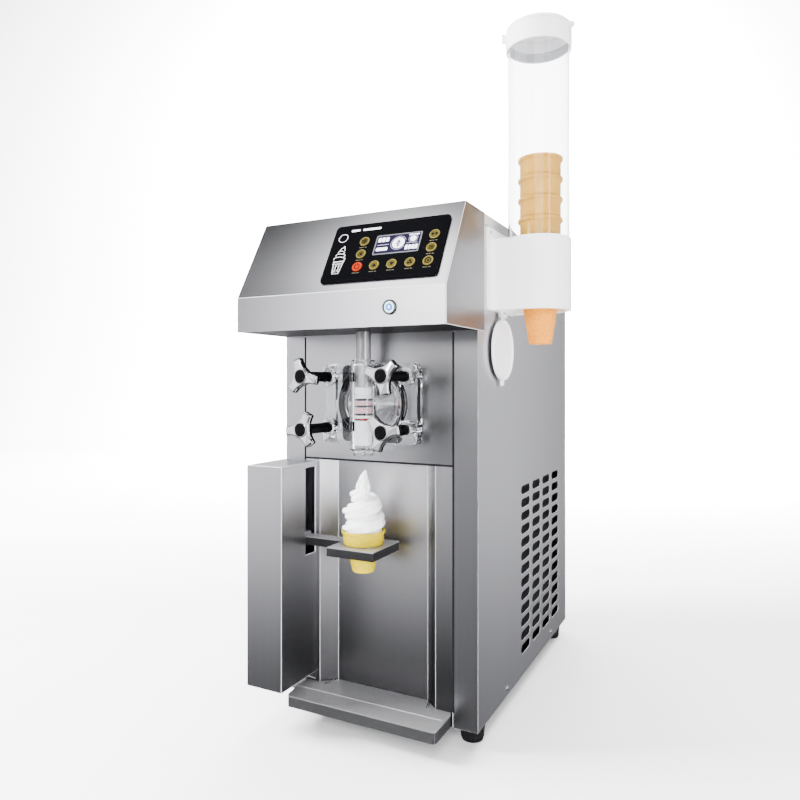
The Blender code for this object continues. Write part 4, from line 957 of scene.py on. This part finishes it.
# ---------------- cones and soft serve


def spread(u, points):
    """Straight-line reading of (u, value) points."""
    for (u0, a), (u1, b) in zip(points, points[1:]):
        if u <= u1:
            return a + (b - a) * (u - u0) / (u1 - u0)
    return points[-1][1]


def served_cone():
    """The ribbed wafer cup that stands in the carriage's plate."""
    low, lip = (corner.z for corner in corners("served_cone"))
    rest = 266.3                 # where the cup's rim rests on the plate

    def ribs(a, z, r):
        if z < rest - 1:
            return 0.32 * math.cos(a * 18 + z * 0.5) * (1 if r > 14 else 0)
        if rest + 4.6 < z < rest + 12.4 and r > 27:
            return 0.5 * max(0.0, math.cos(a * 26 + z * 0.25)) + 0.2 * math.cos(a * 52)
        return 0.12 * math.cos(a * 5) if r > 24 else 0

    outer = [(0, low), (14.0, low), (15.0, low + 1.2)]
    steps = 12
    for k in range(1, steps):
        t = k / steps
        outer.append((15.0 + 8.1 * t, low + 1.2 + (rest - 1.4 - low) * t))
    outer += [(23.4, rest), (26.2, rest + 0.1), (27.0, rest + 0.9), (27.6, rest + 2.4),
              (27.4, rest + 3.4), (27.2, rest + 4.4), (27.3, rest + 5.4), (27.5, rest + 8),
              (27.8, rest + 11), (28.0, rest + 12.6), (27.9, rest + 13.4), (28.6, rest + 14.6),
              (29.4, rest + 15.6), (30.0, rest + 17.2), (30.3, rest + 18.8), (30.0, lip - 0.4),
              (29.2, lip), (28.3, lip - 0.6), (27.8, rest + 15), (26.2, rest + 9), (24.4, rest + 2),
              (13, low + 3), (0, low + 3)]
    piece("served_cone_wafer", lathe(outer, 156, ribs), NOZZLE_AXIS, "lift_carriage",
          wafer_yellow, ("served_cone",), smooth=50)


def rope_path(low, top):
    """The centres and radii of the rope: shrinking rounds, then a tip that leans over."""
    start, rounds, steps, tip_steps = math.radians(200), 2.25, 230, 36
    centres, radii = [], []
    for i in range(steps + 1):
        u = i / steps
        rope = spread(u, [(0, 11.5), (0.30, 12.6), (0.62, 12.4), (0.85, 11.6), (1, 10.0)])
        outer = spread(u, [(0, 29.5), (0.14, 31.2), (0.36, 30.6), (0.62, 27.5), (0.84, 22.0),
                           (1, 14.0)])
        winding = polar(max(outer - rope, 0.5), start + 2 * math.pi * rounds * u)
        centres.append(Vector((*winding, low + 11.5 + 50.0 * u)))
        radii.append(rope)
    last = centres[-1]
    bend = Vector((-1.0, -1.0, last.z + (top - last.z) * 0.4))
    for k in range(1, tip_steps + 1):
        t = k / tip_steps
        centres.append(curve(last, bend, Vector((3.6, 0.0, top - 0.6)), t))
        radii.append(spread(t, [(0, 10.0), (0.25, 11.6), (0.5, 9.4), (0.72, 6.2), (0.9, 2.8),
                                (1, 0.5)]))
    return centres, radii


def soft_serve():
    """A ribbed rope wound in shrinking rounds over a plain core, merged and softened."""
    low, top = (corner.z for corner in corners("soft_serve"))
    sides, lobes, twist, flatten = 72, 5, 0.014, 0.92
    centres, radii = rope_path(low, top)
    rings = []
    for i, p in enumerate(centres):
        before, after = centres[max(i - 1, 0)], centres[min(i + 1, len(centres) - 1)]
        along = (after - before).normalized()
        out = Vector((p.x, p.y, 0.0))
        out = out.normalized() if out.length > 0.8 else Vector((1, 0, 0))
        out = (out - along * out.dot(along)).normalized()
        up = along.cross(out)
        ring = []
        for a in turns(sides):
            lobe = abs(math.cos(lobes * (a + i * twist) / 2)) ** 0.7
            r = radii[i] * (0.60 + 0.40 * lobe)
            ring.append(p + (out * math.cos(a) + up * math.sin(a) * flatten) * r)
        rings.append(ring)
    core = [(0, low + 0.4), (23.5, low + 0.4), (25.5, low + 6), (25.8, low + 9), (21, low + 24),
            (14, low + 44), (6, low + 62), (0, low + 66)]
    rope = solid("rope", lathe(core, 48, bm=skin(bmesh.new(), rings)))
    voxels = rope.modifiers.new("merge", "REMESH")
    voxels.mode = "VOXEL"
    voxels.voxel_size = 0.7
    soften = rope.modifiers.new("soften", "SMOOTH")
    soften.iterations = 3
    soften.factor = 0.5
    merged = settled(rope)
    for vert in merged.verts:
        vert.co.z = min(max(vert.co.z, low + 0.1), top)
    swirl = piece("soft_serve_swirl", merged, NOZZLE_AXIS, "lift_carriage", cream,
                  ("soft_serve",), smooth=180)
    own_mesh(swirl)


def wafer_cones():
    """Seven wafer cones nested in one another; the lowest, which shows, has finer detail."""
    low = corners("cone_stack")[0].z
    count, pitch = 7, 27.9

    def texture(a, z, r):
        if z < 61 and r > 14:
            row = math.floor(z / 5.2)
            lean = 1 if row % 2 else -1
            return 0.34 * math.cos(a * 20 + lean * z * 0.9) - (0.25 if z % 5.2 < 0.9 else 0)
        if 67 < z < 83 and r > 26:
            return 0.16 * math.cos(a * 30)
        return 0

    for i in range(count):
        profile = [(0, 0), (14.6, 0), (15.5, 1.0)]
        steps, sides, look = (10, 72, wafer_pale) if i else (34, 120, wafer)
        for k in range(1, steps):
            t = k / steps
            profile.append((15.5 + 9.5 * t, 1.0 + 60.0 * t))
        profile += [(25.2, 61.6), (26.6, 63.0), (27.8, 65.0), (28.0, 67.5), (28.0, 75),
                    (28.0, 82.5), (28.4, 84.2), (30.2, 85.2), (30.8, 86.2), (30.8, 88.6),
                    (30.2, 89.7), (29.2, 90.0), (28.5, 89.4), (26.0, 84), (25.8, 66),
                    (23.0, 61.5), (13.4, 4), (0, 4)]
        matrix = frame_of((STACK.x, STACK.y, low + pitch * i))
        piece(f"wafer_cone_{i}", lathe(profile, sides, texture), matrix, "cone_stack", look,
              () if i else ("cone_stack",), smooth=45)


# ---------------- cone dispenser trim


def dispenser_trim():
    """The clear tube's wall, the bead round the holder's mouth and two bracket screws."""
    axis = frame_of((TUBE.x, TUBE.y, 0))
    low, high = (corner.z for corner in corners("cone_tube"))
    tube = lathe([(39.7, low), (42.0, low), (42.1, low + 0.4), (42.1, high - 0.4), (42.0, high),
                  (39.7, high)], 96)
    piece("cone_tube_wall", tube, axis, "machine", clear_tube, ("cone_tube",))
    band = lathe([(42.3, 684.8), (44.4, 684.8), (44.5, 686.2), (43.9, 687.2), (42.3, 687.2)], 96)
    piece("holder_top_bead", band, axis, "machine", white_plastic)
    bracket_face, screw_z = 158.9, 694
    for i, y in enumerate((38, 134)):
        screw_head(f"screw_bracket_{i}", (bracket_face, y, screw_z), "X", 3.0)


def lift_trim():
    """The raised lip round the cone hole in the carriage's plate."""
    ring = lathe([(24.9, 265.8), (24.9, 266.25), (26.0, 266.25), (26.0, 265.8)], 64)
    piece("cone_plate_ring", ring, NOZZLE_AXIS, "lift_carriage", steel_polished)


def tray_trim():
    """The folded lip round the back of the tray, a black line inside it as painted shade in its
    groove, and a lighter line along its front crease as painted highlight.
    """
    top = corners("drip_tray")[1].z
    for name, line, width, rise, look, slot in (
            ("tray_lip", [(-84, -4), (-69, 47), (69, 47), (84, -4)], 1.3, 0.9, steel_polished,
             "polished_steel"),
            # Painted shade: a black line in the groove inside the lip
            ("tray_groove_painted_shade", [(-82, -4), (-67.2, 45), (67.2, 45), (82, -4)], 1.1, 0.1, icon_black,
             "black_panel"),
            # Painted highlight: a lighter line along the front crease
            ("tray_crease_painted_highlight", [(-115.2, -26), (115.2, -26)], 0.7, 0.12, bright_edge,
             "polished_steel")):
        piece(name, ribbon(line, width, top - 0.2, top + rise), CABINET, "drip_tray", look)


for build in (feet, screws, seam_gaskets, power_inlet, condenser_fins, key_caps, panel_print,
              screen, start_button, clear_head, valve, star_knobs, served_cone, soft_serve,
              wafer_cones, dispenser_trim, lift_trim, tray_trim):
    build()

# ---------------- floor, light and camera


VIEW_X, VIEW_Y = -0.4527, 0.8916      # the level direction that the camera looks in


def stage_floor():
    """A pale floor that curves up into a wall a long way behind."""
    near, far, bend, half_width, wall_top = -6.0, 4.0, 2.0, 9.0, 7.0
    profile = [(near, 0.0)]
    profile += [(far + bend * math.sin(a), bend - bend * math.cos(a))
                for a in (math.pi / 2 * k / 12 for k in range(13))]
    profile.append((far + bend, wall_top))
    bm = bmesh.new()
    left, right = ([bm.verts.new((x, y, FLOOR_Z + z)) for y, z in profile]
                   for x in (-half_width, half_width))
    for i in range(len(profile) - 1):
        bm.faces.new((left[i], right[i], right[i + 1], left[i + 1]))
    mesh = bpy.data.meshes.new("floor")
    bm.to_mesh(mesh)
    bm.free()
    floor = in_scene("floor", mesh)
    mesh.materials.append(surface("pale_floor", (0.93, 0.93, 0.935), (0.45, 0.55), 3, 0.01, 0.0))
    mesh.shade_smooth()
    floor.rotation_euler.z = math.atan2(-VIEW_X, VIEW_Y)
    floor.visible_glossy = False


def lamp(name, place, aim, extent, power, mirrored=True, diffuse=True, through=True):
    """A rectangular lamp; steel, matt surfaces and clear plastic may each be kept from it."""
    data = bpy.data.lights.new(name, "AREA")
    data.shape = "RECTANGLE"
    data.size, data.size_y = extent
    data.energy = power
    obj = in_scene(name, data)
    obj.location = place
    obj.rotation_euler = (Vector(aim) - Vector(place)).to_track_quat("-Z", "Y").to_euler()
    obj.visible_glossy = mirrored
    obj.visible_transmission = through
    obj.visible_diffuse = diffuse
    obj.visible_camera = False


def ramp_of(tree, stops, source):
    """A grey ramp read at source; stops are (position, level) and levels go up to 1."""
    ramp = tree.nodes.new("ShaderNodeValToRGB")
    elements = ramp.color_ramp.elements
    ramp.color_ramp.interpolation = "B_SPLINE"
    while len(elements) < len(stops):
        elements.new(0.5)
    for element, (position, level) in zip(elements, stops):
        element.position = position
        element.color = (level, level, level * 1.02, 1)
    tree.links.new(source, ramp.inputs["Fac"])
    return ramp.outputs["Color"]


def studio_world():
    """Grey surroundings for the steel to mirror: dark below, a bright ceiling, soft sides."""
    world = bpy.data.worlds.new("studio")
    bpy.context.scene.world = world
    world.use_nodes = True
    tree = world.node_tree
    back = tree.nodes["Background"]
    place = tree.nodes.new("ShaderNodeTexCoord")
    half = (0.5, 0.5, 0.5)       # from -1..1 to 0..1
    split = tree.nodes.new("ShaderNodeSeparateXYZ")
    tree.links.new(scaled(tree, place.outputs["Generated"], half, half), split.inputs["Vector"])
    height = ramp_of(tree, HEIGHT_STOPS, split.outputs["Z"])
    across = ramp_of(tree, ACROSS_STOPS, split.outputs["X"])
    tree.links.new(multiplied(tree, height, across), back.inputs["Color"])
    back.inputs["Strength"].default_value = WORLD_LEVEL


WORLD_LEVEL = 4.0
# Position 0 is straight down, 0.5 the horizon and 1 straight up
HEIGHT_STOPS = ((0.0, 0.03), (0.25, 0.06), (0.31, 0.13), (0.36, 0.28), (0.41, 0.56), (0.48, 0.54),
                (0.53, 0.56), (0.57, 0.62), (0.70, 0.30), (0.82, 0.10), (0.90, 0.12), (1.0, 0.35))
# Position 0 is the machine's left as seen from the front, 1 its right
ACROSS_STOPS = ((0.0, 0.6), (0.10, 0.65), (0.18, 1.0), (0.24, 1.0), (0.32, 0.35), (0.45, 0.4),
                (0.66, 0.6), (0.74, 0.5), (0.86, 0.45), (1.0, 1.0))


def lights():
    """Soft lamps that steel doesn't mirror, two lamps only for the steel, a strip and a wall."""
    studio_world()
    lamp("key", (-2.2, -0.9, 2.0), (0, 0, 0.3), (1.2, 1.2), 480, mirrored=False)
    lamp("front", (0.9, -2.6, 1.6), (0, 0, 0.4), (1.6, 1.6), 150, mirrored=False)
    lamp("top", (0.1, 0.9, 3.4), (0, 0.4, 0.0), (3.0, 3.0), 400, mirrored=False)
    lamp("hood_box", (-0.36, -0.65, 1.44), (0.0, -0.29, 0.62), (0.35, 0.35), 2.0, diffuse=False)
    lamp("band_box", (-0.36, -1.47, 0.78), (0.06, -0.29, 0.58), (0.3, 0.2), 2.6, diffuse=False)
    lamp("strip", (2.2, -1.5, 1.0), (0.1, -0.1, 0.7), (0.25, 2.2), 30)
    lamp("wall", (-0.6, 2.6, 3.4), (-2.0, 5.6, 1.2), (3.2, 1.6), 6500, mirrored=False,
         through=False)


def camera():
    """Where the photograph was taken from, worked out from the machine's own edges."""
    data = bpy.data.cameras.new("camera")
    data.sensor_width = 36.0
    data.lens = 30.53
    data.shift_y = -0.0223
    data.clip_end = 100
    obj = in_scene("camera", data)
    obj.location = at(468.23, -844.41, 489)
    obj.rotation_euler = Vector((VIEW_X, VIEW_Y, 0)).to_track_quat("-Z", "Y").to_euler()
    bpy.context.scene.camera = obj


stage_floor()
lights()
camera()
